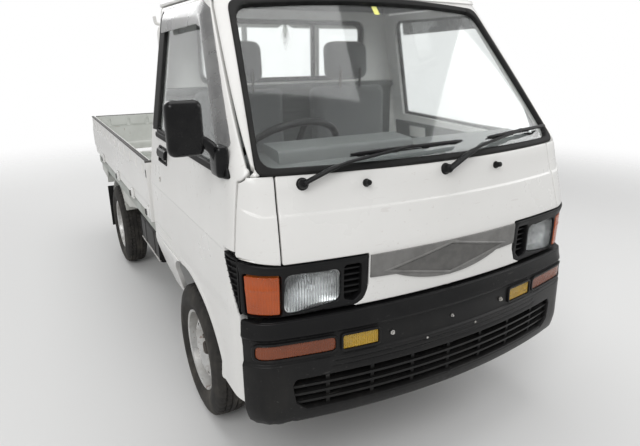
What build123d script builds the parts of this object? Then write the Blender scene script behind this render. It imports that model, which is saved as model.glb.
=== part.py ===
from build123d import *
from math import cos, hypot, radians, sin, sqrt
import os

# Kei truck, cab over engine, drop-side bed. Millimetres, full size.
# The front faces -Y, the truck's left side is +X, the ground is Z = 0.
# The origin is on the ground, on the centre plane, halfway along the body.

LENGTH = 3295
WIDTH = 1395
HALF = WIDTH / 2
TAIL_Y = LENGTH / 2
FRONT_AXLE_Y = -900
REAR_AXLE_Y = 1000
WHEEL_Z = 272.5
WHEEL_X = 602.5
KINGPIN_X = 485

CAB_REAR_Y = -395
SILL_Z = 645
BELT_Z = 1105
HOOD_LOW_Z = 862
BUMPER_TOP_Z = 695
GAP = 5
FIT = 0.3

WALL_DOOR = 42
WALL_BODY = 30
WALL_PANEL = 18

BED_FRONT_Y = -372
BED_IN_FRONT_Y = BED_FRONT_Y + 31
BED_IN_REAR_Y = 1600
BED_FLOOR_Z = 662
GATE_LOW_Z = 692
GATE_TOP_Z = 965
GATE_THICK = 28
GATE_HINGE_Z = 684
GATE_HINGE_X = 691

RAIL_IN_X = 285
RAIL_OUT_X = 345
RAIL_TOP_Z = 600

STUB_R = 16
STUB_BORE_R = 16.05

os.makedirs("parts", exist_ok=True)


def block(x0, x1, y0, y1, z0, z1):
    """A box between two corners."""
    middle = ((x0 + x1) / 2, (y0 + y1) / 2, (z0 + z1) / 2)
    return Pos(*middle) * Box(abs(x1 - x0), abs(y1 - y0), abs(z1 - z0))


def rod(start, end, radius):
    """A round bar from one point to another."""
    line = Vector(*end) - Vector(*start)
    plane = Plane(origin=start, z_dir=line)
    return plane * Cylinder(radius, line.length, align=(Align.CENTER, Align.CENTER, Align.MIN))


def outline(steps, place):
    """A flat face. Each step is (u, v) for a line, or (u, v, middle_u, middle_v) for an arc."""
    first = place(*steps[0][:2])
    here = first
    edges = []
    for step in steps[1:]:
        there = place(*step[:2])
        if len(step) == 4:
            edges.append(ThreePointArc(here, place(*step[2:]), there))
        else:
            edges.append(Line(here, there))
        here = there
    if (Vector(*here) - Vector(*first)).length > 0.01:
        edges.append(Line(here, first))
    return make_face(edges)


def across(steps, x0, x1):
    """An outline in (y, z), carried across the truck from x0 to x1."""
    return extrude(outline(steps, lambda y, z: (x0, y, z)), x1 - x0, dir=(1, 0, 0))


def along(steps, y0, y1):
    """An outline in (x, z), carried along the truck from y0 to y1."""
    return extrude(outline(steps, lambda x, z: (x, y0, z)), y1 - y0, dir=(0, 1, 0))


def scaled(steps, share):
    """An outline's points moved in towards their middle by a share of their distance."""
    middle = [sum(step[axis] for step in steps) / len(steps) for axis in (0, 1)] * 2
    return [tuple(v + (m - v) * share for v, m in zip(step, middle)) for step in steps]


def mirrored(shape):
    """The same shape on the other side of the truck."""
    solids = [solid.mirror(Plane.YZ) for solid in shape.solids()]
    return solids[0] if len(solids) == 1 else Compound(children=solids)


def both(shape):
    """A shape with its twin on the other side, as separate solids."""
    return Compound(children=list(shape.solids()) + list(mirrored(shape).solids()))


def together(*shapes):
    """Several shapes in one node, as separate solids."""
    return Compound(children=[solid for shape in shapes for solid in shape.solids()])


# Horizontal sections of the cab: a bowed front, round front corners, flat sides and back.
# z, y of the front's middle, radius of the bow, half width, corner radius, y of the back,
# share of a wall's thickness by which the inside of the section lies lower.
CAB_SECTIONS = [
    (340, -1600, 3000, 688, 150, CAB_REAR_Y, 0),
    (690, -1606, 3000, 692, 150, CAB_REAR_Y, 0),
    (870, -1607, 3000, 693, 150, CAB_REAR_Y, 0),
    (1105, -1552, 2150, 662, 78, CAB_REAR_Y, 0),
    (1600, -1110, 3100, 574, 66, CAB_REAR_Y, 0),
    (1660, -1055, 3100, 556, 78, CAB_REAR_Y, 0.4),
    (1700, -985, 3100, 512, 92, -405, 0.8),
    (1724, -880, 3100, 422, 100, -430, 0.9),
    (1737, -690, 3100, 210, 90, -500, 1),
]

# The bumper's sections, with the same first six columns.
BUMPER_SECTIONS = [
    (338, -1622, 2500, 655, 90, -1380),
    (352, -1640, 2500, 686, 110, -1380),
    (400, -1647.5, 2500, 697.5, 120, -1380),
    (600, -1641, 2500, 697.5, 120, -1380),
    (632, -1640, 2500, 697.5, 120, -1380),
    (655, -1626, 2700, 694, 118, -1380),
    (BUMPER_TOP_Z, -1618, 2900, 693, 130, -1380),
]


def plan_section(z, front, bow, half, corner, rear):
    """A horizontal section: the corner arcs are tangent to the bowed front and the sides."""
    corner_x = half - corner
    corner_y = front + bow - sqrt((bow - corner) ** 2 - corner_x**2)
    reach = hypot(corner_x, corner_y - front - bow)
    ux, uy = corner_x / reach, (corner_y - front - bow) / reach
    touch = (corner_x + corner * ux, corner_y + corner * uy)
    spread = hypot(ux + 1, uy)
    bulge = (corner_x + corner * (ux + 1) / spread, corner_y + corner * uy / spread)
    edges = [
        Line((-half, rear, z), (-half, corner_y, z)),
        ThreePointArc((-half, corner_y, z), (-bulge[0], bulge[1], z), (-touch[0], touch[1], z)),
        ThreePointArc((-touch[0], touch[1], z), (0, front, z), (touch[0], touch[1], z)),
        ThreePointArc((touch[0], touch[1], z), (bulge[0], bulge[1], z), (half, corner_y, z)),
        Line((half, corner_y, z), (half, rear, z)),
        Line((half, rear, z), (-half, rear, z)),
    ]
    return make_face(edges)


def cab_form(inset):
    """The whole cab as one block, set in by a wall's thickness."""
    faces = []
    for z, front, bow, half, corner, rear, share in CAB_SECTIONS:
        round_r = max(corner - inset, 12)
        faces.append(
            plan_section(z - inset * share, front + inset, bow, half - inset, round_r, rear - inset)
        )
    return loft(faces, ruled=True)


def bumper_form(inset):
    """The bumper as one block, set in by a wall's thickness."""
    faces = []
    for z, front, bow, half, corner, rear in BUMPER_SECTIONS:
        round_r = max(corner - inset, 12)
        faces.append(plan_section(z, front + inset, bow, half - inset, round_r, rear))
    return loft(faces, ruled=True)


def section_at(z):
    """The y of the front's middle, the bow's radius and the half width at a height."""
    for lower, upper in zip(CAB_SECTIONS, CAB_SECTIONS[1:]):
        if lower[0] <= z <= upper[0]:
            share = (z - lower[0]) / (upper[0] - lower[0])
            return [a + share * (b - a) for a, b in zip(lower[1:4], upper[1:4])]
    return CAB_SECTIONS[-1][1:4]


def front_y(x, z):
    """The y of the cab's bowed front at a place on it."""
    front, bow, half = section_at(z)
    return front + x * x / (2 * bow)


CAB_INSETS = (-16, -13, -8, -6, -4, -FIT, 0, 4, 9, 13, 16, 18, 24, 30, 42, 48, 50, 70, 78, 80)
CAB = {inset: cab_form(inset) for inset in CAB_INSETS}
BUMPER = {inset: bumper_form(inset) for inset in (0, 6, 28, 40, 60)}


def wall(outer, inner, region):
    """The part of the cab's wall, from one inset to another, that lies in a region."""
    return (CAB[outer] & region) - CAB[inner]


def bumper_wall(outer, inner, region):
    """The same for the bumper."""
    return (BUMPER[outer] & region) - BUMPER[inner]


# The windscreen's edge in (x, z), and the wall holes that show glass.
SCREEN = [(-604, 1104), (604, 1104), (520, 1584), (-520, 1584, 0, 1606)]
REAR_LIGHT = [(-430, 1290), (430, 1290), (430, 1570), (-430, 1570)]

# The door's edge in (y, z), from the lower rear corner up and round by the front.
DOOR_REAR_Y = -425
DOOR = [
    (DOOR_REAR_Y, SILL_Z),
    (DOOR_REAR_Y, 1560),
    (-468, 1604, -438, 1592),
    (-1000, 1604),
    (-1062, 1570, -1037, 1595),
    (-1438, 1130),
    (-1446, 1104, -1446, 1118),
    (-1502, 892),
    (-1410, 892),
    (-1474, 692),
    (-1503, 387),
    (-1286, 387),
    (-1302, 456),
    (-1101, 617, -1218, 555),
    (-880, SILL_Z, -990, 645),
]
WINDOW = [
    (-512, 1114),
    (-508, 1540),
    (-542, 1572, -518, 1563),
    (-990, 1572),
    (-1040, 1545, -1020, 1566),
    (-1368, 1140),
    (-1352, 1088, -1377, 1108),
]
DOOR_FACE_X = 500
# What the door leaves free in (x, z) at its front, so that it turns about its hinges.
DOOR_FLANGE = [(480, 380), (628, 380), (628, 1036), (611, 1099), (600, 1141), (560, 1290), (480, 1290)]
DOOR_STEP = [(400, 610), (679, 610), (680, 868), (649, 1103), (574.6, 1530), (400, 1530)]
DOOR_HINGE = (692, -1504)


def door_prism(grow, side=1):
    """The door's edge carried across the wall, grown by the shut gap."""
    face = outline(DOOR, lambda y, z: (DOOR_FACE_X, y, z))
    if grow:
        face = offset(face, amount=grow, kind=Kind.INTERSECTION)
    prism = extrude(face, 260, dir=(1, 0, 0))
    return prism if side > 0 else mirrored(prism)


def make_door():
    """The left door: outer skin, frame and lining as one wall, with its window."""
    window = across(WINDOW, 450, 760)
    edge = outline(SCREEN, lambda x, z: (x, -1700, z))
    screen = extrude(offset(edge, amount=GAP), 800, dir=(0, 1, 0))
    behind = Pos(0, 2 * WALL_DOOR, 0) * CAB[WALL_DOOR]
    rear_step = along(DOOR_STEP, DOOR_REAR_Y - 12, CAB_REAR_Y)
    inner_flange = along(DOOR_FLANGE, -1700, -1380)
    return wall(0, WALL_DOOR, door_prism(0)) - window - screen - behind - rear_step - inner_flange


def make_door_glass():
    """The left door's glass, in the window with a small clearance."""
    low_z, high_z = 1070, 1590
    lean = (section_at(1200)[2] - section_at(1500)[2]) / 300
    low_x = section_at(1200)[2] + (1200 - low_z) * lean - 9
    high_x = low_x - (high_z - low_z) * lean
    sheet = [(low_x, low_z), (high_x, high_z), (high_x - 4, high_z), (low_x - 4, low_z)]
    return along(sheet, -1420, -480) & across(scaled(WINDOW, 0.001), 450, 760)


SAIL = [(-1412, 1110), (-1352, 1092), (-1268, 1262)]
VISOR = [
    (-520, 1498),
    (-520, 1586),
    (-1000, 1590),
    (-1062, 1560),
    (-1372, 1172),
    (-1330, 1150),
    (-1052, 1500),
    (-1005, 1512),
]
MIRROR_SIZE = (104, 58, 158)
MIRROR_AT = (-762, -1356, 1234)


def make_door_fittings():
    """The left door's black pieces: sail plate, handle and rain visor."""
    sail = wall(-8, 0, across(SAIL, 560, 760))
    handle = wall(-8, 0, block(560, 760, -700, -572, 1012, 1058))
    visor = wall(-16, -13, across(VISOR, 480, 760))
    lip = [(-520, 1583), (-520, 1589), (-1000, 1593), (-1000, 1587)]
    lip = wall(-16, 0, across(lip, 480, 760))
    return together(sail, handle, visor.fuse(lip))


def make_mirror():
    """The right door's mirror: a housing on a short arm from the sail plate."""
    housing = Box(*MIRROR_SIZE)
    housing = Pos(*MIRROR_AT) * chamfer(housing.edges(), 14)
    arm = rod((-655, -1352, 1160), (-725, -1356, 1190), 11)
    return housing + arm


# The windscreen pillar reaches this far behind the door's front edge, in (y, z).
PILLAR = [(-1700, 1104), (-1378, 1104), (-1378, 1134), (-1030, 1560), (-1000, 1620), (-1700, 1620)]


def make_pillar():
    """The left windscreen pillar: a strip beside the rubber and a box behind the door's edge."""
    pillar = wall(0, 78, across(PILLAR, 480, 760))
    edge = outline(SCREEN, lambda x, z: (x, -1700, z))
    rebate = extrude(edge, 800, dir=(0, 1, 0)) - CAB[18]
    inside = extrude(offset(edge, amount=-24), 800, dir=(0, 1, 0))
    return pillar - rebate - inside - (door_prism(GAP) - CAB[48])


BEAM_PAST_DOOR = 92


def make_cab_shell():
    """Roof, pillars, back wall and the beam under the windscreen."""
    body = wall(0, WALL_BODY, block(-800, 800, -1700, 0, SILL_Z, 1800))
    for side in (1, -1):
        body -= door_prism(GAP, side)
    body -= block(-800, 800, -1700, -1380, 300, BELT_Z + 20)
    body -= along(SCREEN, -1700, -900)
    body -= along(REAR_LIGHT, CAB_REAR_Y - 100, CAB_REAR_Y + 60)
    body -= block(-800, 800, -1500, DOOR_REAR_Y - 20, 300, BELT_Z)
    beam = CAB[24] & block(-640, 640, -1530, -1440, 1050, 1124)
    posts = CAB[50] & both(block(548, 584, -1530, -1441, 430, 1110))
    pillar = make_pillar()
    for side in (1, -1):
        beam -= Pos(side * BEAM_PAST_DOOR, 0, 0) * door_prism(GAP, side)
    for extra in (beam, *posts.solids(), pillar, mirrored(pillar), make_sill(1), make_sill(-1)):
        body = body.fuse(extra)
    return body


# The sill behind the front wheel, in (y, z), and how it tucks in below, in (x, z).
SILL_SIDE = [
    (CAB_REAR_Y, 690),
    (CAB_REAR_Y, 372),
    (-590, 372),
    (-700, 520, -664, 450),
    (-840, SILL_Z - GAP, -752, 606),
    (-420, SILL_Z - GAP),
    (-420, 690),
]
SILL_TUCK = [
    (684, 700),
    (684, SILL_Z),
    (691.5, SILL_Z),
    (691.5, 600),
    (655, 470),
    (614, 362),
    (590, 362),
    (632, 476),
    (662, 600),
    (662, 700),
]


def make_sill(side):
    """The fixed panel behind the wheel opening."""
    sill = along(SILL_TUCK, -900, CAB_REAR_Y + 15) & across(SILL_SIDE, 560, 720)
    return sill if side > 0 else mirrored(sill)


SEAM_TOP_X = 556
SEAM_LOW_X = 573
BEZEL_IN_X = 308


def make_front_panels():
    """The panel below the windscreen and the two corner panels, with their seams open."""
    seam = GAP / 2
    middle = along(
        [
            (-SEAM_TOP_X + seam, BELT_Z - 4),
            (SEAM_TOP_X - seam, BELT_Z - 4),
            (SEAM_LOW_X - seam, HOOD_LOW_Z),
            (BEZEL_IN_X - 3, HOOD_LOW_Z),
            (BEZEL_IN_X - 3, 728),
            (BEZEL_IN_X + 26, BUMPER_TOP_Z + 2),
            (-BEZEL_IN_X - 26, BUMPER_TOP_Z + 2),
            (-BEZEL_IN_X + 3, 728),
            (-BEZEL_IN_X + 3, HOOD_LOW_Z),
            (-SEAM_LOW_X + seam, HOOD_LOW_Z),
        ],
        -1700,
        -1380,
    )
    corner = along(
        [
            (SEAM_TOP_X + seam, BELT_Z - 4),
            (760, BELT_Z - 4),
            (760, HOOD_LOW_Z + 16),
            (690, HOOD_LOW_Z + 13),
            (SEAM_LOW_X + seam, HOOD_LOW_Z),
        ],
        -1700,
        -1380,
    )
    corner &= block(0, 800, -1700, -1420, 300, 1200)
    side = wall(0, WALL_PANEL, corner) - door_prism(GAP)
    side -= block(500, 800, -1484, -1380, HOOD_LOW_Z, 892)
    return together(wall(0, WALL_PANEL, middle), both(side))


def make_cab_glass():
    """The windscreen and the rear window."""
    edge = offset(outline(SCREEN, lambda x, z: (x, -1700, z)), amount=-22 - FIT)
    screen = wall(4, 9, extrude(edge, 800, dir=(0, 1, 0)))
    rear_edge = outline(REAR_LIGHT, lambda x, z: (x, CAB_REAR_Y - 16, z))
    rear = extrude(offset(rear_edge, amount=-16 - FIT), 5, dir=(0, 1, 0))
    return together(screen, rear)


def make_window_rubbers():
    """The rubber frames of the windscreen and the rear window."""
    edge = outline(SCREEN, lambda x, z: (x, -1700, z))
    ring = extrude(offset(edge, amount=-1), 800, dir=(0, 1, 0))
    ring -= extrude(offset(edge, amount=-22), 800, dir=(0, 1, 0))
    screen = wall(-4, 13, ring)
    rear_edge = outline(REAR_LIGHT, lambda x, z: (x, CAB_REAR_Y - 22, z))
    rear = extrude(offset(rear_edge, amount=-1), 25, dir=(0, 1, 0))
    rear -= extrude(offset(rear_edge, amount=-16), 25, dir=(0, 1, 0))
    return together(screen, rear)


# Lamps in (x, z), each on the left side.
HEADLAMP = [(398, 824), (562, 826), (566, 704), (400, 728)]
CORNER_LAMP = [(576, 832), (760, 832), (760, 712), (576, 704)]
INDICATOR = [(424, 622), (676, 622), (676, 572), (424, 572)]
FOG_LAMP = [(282, 622), (404, 622), (404, 570), (282, 570)]
LAMP_POCKET = [(326, 838), (386, 838), (386, 728), (350, 716), (326, 736)]
POCKET_BACK = [(318, 846), (392, 846), (392, 720), (318, 720)]
POCKET_RIBS = 5
LOUVRE = [(-1479, 882), (-1417, 887), (-1478, 699)]
LOUVRE_SLOTS = 7


def make_lamp_bezels():
    """The black surrounds of the headlamps and the louvres behind them."""
    frame = along(
        [
            (BEZEL_IN_X, HOOD_LOW_Z - 4),
            (SEAM_LOW_X, HOOD_LOW_Z - 4),
            (690, HOOD_LOW_Z + 6),
            (760, HOOD_LOW_Z + 8),
            (760, BUMPER_TOP_Z + 2),
            (BEZEL_IN_X + 30, BUMPER_TOP_Z + 2),
            (BEZEL_IN_X, 728),
        ],
        -1700,
        -1380,
    )
    front = block(0, 800, -1700, -1482, 600, 900)
    bezel = wall(0, 50, frame & front)
    bezel -= along(HEADLAMP, -1700, -1380)
    bezel -= along(CORNER_LAMP, -1700, -1480)
    bezel -= along(LAMP_POCKET, -1700, -1380)
    backing = wall(42, 50, along(POCKET_BACK, -1700, -1400))
    ribs = []
    for row in range(POCKET_RIBS):
        rib_z = 746 + row * 19
        ribs.append(wall(18, 50, block(320, 392, -1700, -1400, rib_z - 3, rib_z + 3)))
    bezel = bezel.fuse(backing, *ribs)
    louvre = wall(0, 24, across(LOUVRE, 560, 760))
    inner = across(scaled(LOUVRE, 0.2), 560, 760)
    for row in range(LOUVRE_SLOTS):
        slot_z = 736 + row * 20
        slot = [(-1500, slot_z), (-1400, slot_z + 6), (-1400, slot_z + 14), (-1500, slot_z + 8)]
        louvre -= wall(0, 16, across(slot, 560, 760) & inner)
    return both(together(bezel, louvre))


def make_headlamps():
    """The two headlamps, set into the surrounds."""
    edge = offset(outline(HEADLAMP, lambda x, z: (x, -1700, z)), amount=-2)
    return both(wall(4, 42, extrude(edge, 320, dir=(0, 1, 0))))


def make_amber_lamps():
    """The corner lamps beside the headlamps and the indicators in the bumper."""
    edge = offset(outline(CORNER_LAMP, lambda x, z: (x, -1700, z)), amount=-2)
    corner = wall(0, 30, extrude(edge, 216, dir=(0, 1, 0)))
    edge = offset(outline(INDICATOR, lambda x, z: (x, -1700, z)), amount=-2)
    indicator = bumper_wall(6, 28, extrude(edge, 170, dir=(0, 1, 0)))
    return both(together(corner, indicator))


def make_fog_lamps():
    """The two yellow lamps in the bumper."""
    edge = offset(outline(FOG_LAMP, lambda x, z: (x, -1700, z)), amount=-2)
    return both(bumper_wall(6, 28, extrude(edge, 170, dir=(0, 1, 0))))


GRILLE_HALF = 560
GRILLE_LOW_Z = 402
GRILLE_TOP_Z = 512
SLAT_COUNT = 3


def make_bumper():
    """The front bumper: lamp pockets, a wide mouth with slats, and its lower lip."""
    skin = bumper_wall(0, 28, block(-800, 800, -1700, -1512, 300, 800))
    ledge = bumper_wall(6, 60, block(-690, 690, -1700, -1530, BUMPER_TOP_Z - 16, BUMPER_TOP_Z))
    bumper = skin + ledge
    for side in (1, -1):
        for lamp in (INDICATOR, FOG_LAMP):
            hole = [(side * x, z) for x, z in lamp]
            bumper -= along(hole, -1700, -1530)
    mouth = [
        (-GRILLE_HALF, GRILLE_TOP_Z),
        (GRILLE_HALF, GRILLE_TOP_Z),
        (GRILLE_HALF - 10, GRILLE_LOW_Z + 30),
        (GRILLE_HALF - 40, GRILLE_LOW_Z),
        (-GRILLE_HALF + 40, GRILLE_LOW_Z),
        (-GRILLE_HALF + 10, GRILLE_LOW_Z + 30),
    ]
    bumper -= along(mouth, -1700, -1380)
    slats = []
    pitch = (GRILLE_TOP_Z - GRILLE_LOW_Z) / (SLAT_COUNT + 1)
    for row in range(SLAT_COUNT):
        z = GRILLE_LOW_Z + pitch * (row + 1)
        slats.append(bumper_wall(6, 40, block(-572, 572, -1700, -1400, z - 5, z + 5)))
    posts = []
    for x in (-300, 0, 300):
        posts.append(bumper_wall(28, 40, block(x - 8, x + 8, -1700, -1400, 392, 522)))
    return bumper.fuse(*slats, *posts)


GARNISH = [
    (-302, 856),
    (302, 856),
    (302, 784),
    (214, 780),
    (-214, 780, 0, 748),
    (-302, 784),
]


def make_garnish():
    """The grey bar between the headlamp surrounds, bare where a name could be."""
    return wall(-6, -FIT, along(GARNISH, -1700, -1380))


WIPER_LIFT = 26


def above_front(x, z, lift=WIPER_LIFT):
    """A point a little ahead of the cab's front."""
    return (x, front_y(x, z) - lift, z)


def make_wipers():
    """Two wiper arms with their blades, lying on the windscreen."""
    solids = []
    # pivot x, z; blade's ends x, z and x, z, in the photograph's order
    rows = [
        (-494, 1076, -300, 1134, 112, 1146),
        (18, 1066, 228, 1142, 560, 1150),
    ]
    for pivot_x, pivot_z, x0, z0, x1, z1 in rows:
        boss = rod(above_front(pivot_x, pivot_z, 9), above_front(pivot_x, pivot_z + 8, 34), 15)
        blade = rod(above_front(x0, z0), above_front(x1, z1), 6)
        hub = above_front(pivot_x, pivot_z + 6)
        middle_x, middle_z = (x0 + x1) / 2, (z0 + z1) / 2
        knee = above_front((pivot_x + middle_x) / 2, (pivot_z + middle_z) / 2, WIPER_LIFT + 6)
        end = tuple((a + b) / 2 for a, b in zip(above_front(x0, z0), above_front(x1, z1)))
        solids.append(blade.fuse(rod(hub, knee, 6), rod(knee, end, 6), boss))
    return together(*solids)


SEAT_HALF = 235
SEAT_X = 290


def make_seats():
    """Two seats with headrests, each one soft solid."""
    cushion = across([(-1075, 722), (-1075, 812), (-1030, 850), (-560, 832), (-560, 722)], -SEAT_HALF, SEAT_HALF)
    back = across([(-640, 835), (-600, 1300), (-500, 1300), (-478, 722), (-560, 722), (-560, 835)], -225, 225)
    rest = across([(-592, 1296), (-572, 1470), (-508, 1470), (-506, 1296)], -120, 120)
    seat = cushion.fuse(back, rest)
    return together(Pos(-SEAT_X, 0, 0) * seat, Pos(SEAT_X - 10, 0, 0) * seat)


def make_cab_floor():
    """Footwell, step to the seat deck, bulkhead and the seats' bases."""
    deck = across(
        [
            (-1540, 416),
            (-1250, 416),
            (-1250, 650),
            (-428, 650),
            (-428, 662),
            (-1262, 662),
            (-1262, 428),
            (-1540, 428),
        ],
        -588,
        588,
    )
    deck &= CAB[70]
    wings = both(block(588, 640, -1262, -430, 650, 662) & CAB[48])
    steps = both(block(588, 640, -1396, -1262, 416, 428) & CAB[48])
    bulkhead = wall(70, 80, block(-540, 540, -1700, -1380, 420, 870))
    bases = [block(side * 290 - 200, side * 290 + 200, -1030, -500, 662, 722) for side in (-1, 1)]
    return deck.fuse(*wings.solids(), *steps.solids(), bulkhead, *bases)


def make_dashboard():
    """The dashboard with its instrument hood on the driver's side."""
    profile = [(-1436, 880), (-1436, 1110), (-1260, 1128), (-1232, 1090), (-1262, 960), (-1330, 880)]
    board = across(profile, -585, 585)
    hood = across([(-1400, 1080), (-1380, 1150), (-1262, 1158), (-1228, 1120), (-1236, 1080)], -500, 10)
    return board.fuse(hood) & CAB[80]


COLUMN_AXIS = (0, cos(radians(50)), sin(radians(50)))
WHEEL_CENTRE = (-320, -1080, 1090)
STEER_RIM_R = 180
STEER_TUBE_R = 13


def on_column(distance):
    """A point on the steering column's line, measured down from the wheel's centre."""
    return tuple(c - a * distance for c, a in zip(WHEEL_CENTRE, COLUMN_AXIS))


def make_controls():
    """Steering column, gear lever, hand brake and pedals."""
    column = rod(on_column(62), on_column(330), 24)
    lever = rod((0, -1170, 664), (-20, -1180, 905), 8) + rod((-20, -1180, 895), (-23, -1182, 938), 22)
    brake = rod((-25, -900, 690), (-25, -1080, 800), 13)
    pedals = []
    for x in (-420, -330, -200):
        arm = rod((x, -1400, 800), (x, -1395, 560), 7)
        pad = block(x - 32, x + 32, -1402, -1388, 520, 580)
        pedals.append(arm + pad)
    return together(column, lever, brake, *pedals)


def make_steering_wheel():
    """Rim, two spokes and hub, turning about the column's line."""
    plane = Plane(origin=WHEEL_CENTRE, x_dir=(1, 0, 0), z_dir=COLUMN_AXIS)
    tube = [(STEER_RIM_R + STEER_TUBE_R * cos(radians(a)), STEER_TUBE_R * sin(radians(a))) for a in range(0, 360, 60)]
    rim = revolve(outline(tube, lambda x, z: (x, 0, z)), axis=Axis.Z)
    hub = Pos(0, 0, -30) * Cylinder(42, 44)
    wheel = rim + hub
    for angle in (200, 340, 90):
        reach = STEER_RIM_R - 4
        spoke = rod((0, 0, -24), (reach * cos(radians(angle)), -reach * sin(radians(angle)), 0), 10)
        wheel += spoke
    return plane * wheel


def make_radiator():
    """The radiator behind the bumper's mouth."""
    core = block(-240, 200, -1576, -1550, 350, 560)
    tanks = [block(x, x + 22, -1580, -1544, 345, 565) for x in (-262, 200)]
    return core.fuse(*tanks)


def make_chassis():
    """The ladder frame: two stepped rails, cross members and the cab's supports."""
    rail_side = [
        (-1500, 300),
        (-1500, 388),
        (-420, 388),
        (-160, RAIL_TOP_Z),
        (1598, RAIL_TOP_Z),
        (1598, 505),
        (-100, 505),
        (-360, 300),
    ]
    rails = both(across(rail_side, RAIL_IN_X, RAIL_OUT_X))
    members = [block(-300, 300, y0, y1, z0, z1) for y0, y1, z0, z1 in (
        (-1500, -1450, 305, 383),
        (-1275, -1235, 305, 383),
        (-420, -370, 302, 324),
        (-100, -50, 515, 590),
        (560, 610, 515, 590),
        (1572, 1598, 515, 590),
    )]
    feet = []
    for x in (-RAIL_OUT_X, RAIL_IN_X):
        feet.append(block(x, x + 60, -1400, -1340, 388, 416))
        feet.append(block(x, x + 60, -520, -470, 388, 650))
    frame = rails.solids()[0]
    return frame.fuse(rails.solids()[1], *members, *feet)


def make_bed_floor():
    """The bed's ribbed floor on its cross members, with the edge rails below the gates."""
    plate = block(-650, 650, BED_IN_FRONT_Y, BED_IN_REAR_Y, 646, 656)
    ribs = []
    pitch = 88
    for column in range(-7, 8):
        x = column * pitch * 0.97
        ribs.append(
            along(
                [(x - 26, 654), (x - 20, BED_FLOOR_Z), (x + 20, BED_FLOOR_Z), (x + 26, 654)],
                BED_IN_FRONT_Y + 3,
                BED_IN_REAR_Y - 3,
            )
        )
    members = []
    for y in (-250, 180, 660, 1080, 1480):
        members.append(block(-640, 640, y - 32, y + 32, RAIL_TOP_Z, 647))
    edges = both(
        along(
            [(628, 612), (672, 612), (678, 622), (678, 672), (640, 672), (640, 656), (628, 656)],
            BED_IN_FRONT_Y,
            BED_IN_REAR_Y,
        )
    )
    return plate.fuse(*ribs, *members, *edges.solids())


HEAD_TUBE_R = 14
HEAD_TOP_Z = 1548
HEAD_POST_X = 572


def make_headboard():
    """The bed's front wall with its corner posts and the tube guard above it."""
    y0, y1 = BED_FRONT_Y, BED_FRONT_Y + 26
    wall = block(-655, 655, y0, y1, 658, 940)
    top = block(-697, 697, y0 - 4, y1 + 4, 940, GATE_TOP_Z)
    posts = both(block(650, 697, y0 - 2, y1 + 2, 676, 945)).solids()
    middle_y = (y0 + y1) / 2
    tubes = []
    for x in (-HEAD_POST_X, -190, 190, HEAD_POST_X):
        tubes.append(rod((x, middle_y, 950), (x, middle_y, HEAD_TOP_Z), HEAD_TUBE_R))
    for z, half in ((HEAD_TOP_Z, HEAD_POST_X + 22), (1250, HEAD_POST_X)):
        tubes.append(rod((-half, middle_y, z), (half, middle_y, z), HEAD_TUBE_R - 1))
    for side in (-1, 1):
        x = side * (HEAD_POST_X + 18)
        tubes.append(rod((x, middle_y, HEAD_TOP_Z), (x, middle_y, HEAD_TOP_Z + 24), 7))
    return wall.fuse(top, *posts, *tubes)


# A gate's section, as (distance in from the outer face, z), outer side first.
GATE_SECTION = [
    (0, GATE_TOP_Z),
    (0, 938),
    (8, 930),
    (8, 892),
    (2, 880),
    (2, 752),
    (9, 742),
    (9, GATE_LOW_Z),
    (GATE_THICK, GATE_LOW_Z),
    (GATE_THICK, GATE_TOP_Z),
]
GATE_FRONT_Y = BED_FRONT_Y + 34
SIDE_HINGE_Y = (-300, 116, 594, 1238)


def make_side_gate():
    """The left drop side: pressed wall, stiffening ribs and hinge leaves."""
    gate = along([(HALF - depth, z) for depth, z in GATE_SECTION], GATE_FRONT_Y, TAIL_Y)
    ribs = []
    count = 12
    for place in range(count):
        y = GATE_FRONT_Y + 90 + place * (TAIL_Y - GATE_FRONT_Y - 180) / (count - 1)
        ribs.append(block(HALF - 9, HALF - 1, y - 9, y + 9, 884, 936))
    leaves = []
    for y in SIDE_HINGE_Y:
        leaves.append(block(HALF - 11, HALF, y - 28, y + 28, GATE_HINGE_Z, 722))
    knuckles = []
    for y in SIDE_HINGE_Y:
        knuckles.append(rod((GATE_HINGE_X, y - 24, GATE_HINGE_Z), (GATE_HINGE_X, y + 24, GATE_HINGE_Z), 6.5))
    return gate.fuse(*ribs, *leaves, *knuckles)


TAIL_HALF = HALF - GATE_THICK - GAP - 2
TAIL_HINGE_X = (-520, 0, 520)


def make_tail_gate():
    """The tail gate between the drop sides."""
    section = [(TAIL_Y - depth, z) for depth, z in GATE_SECTION]
    gate = across(section, -TAIL_HALF, TAIL_HALF)
    ribs = []
    for place in range(-4, 5):
        x = place * 140
        ribs.append(block(x - 9, x + 9, TAIL_Y - 9, TAIL_Y - 1, 884, 936))
    leaves = []
    for x in TAIL_HINGE_X:
        leaves.append(block(x - 28, x + 28, TAIL_Y - 11, TAIL_Y, GATE_HINGE_Z, 722))
        leaves.append(rod((x - 24, TAIL_Y - 6.5, GATE_HINGE_Z), (x + 24, TAIL_Y - 6.5, GATE_HINGE_Z), 6.5))
    return gate.fuse(*ribs, *leaves)


def make_tail_panel():
    """The beam under the tail gate, with the plate's two holes and lamp brackets."""
    beam = across([(1602, 500), (1602, 668), (1622, 668), (1630, 600), (1622, 500)], -640, 640)
    holes = [rod((x, 1590, 575), (x, 1640, 575), 3.5) for x in (-105, 105)]
    for hole in holes:
        beam -= hole
    return beam - both(block(448, 634, 1608, 1640, 543, 632))


def make_tail_lamps():
    """The rear lamps, sunk in the ends of the tail beam clear of the lowered gate."""
    lamp = block(450, 632, 1608 + FIT, 1631, 545, 630)
    return both(lamp)


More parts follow.
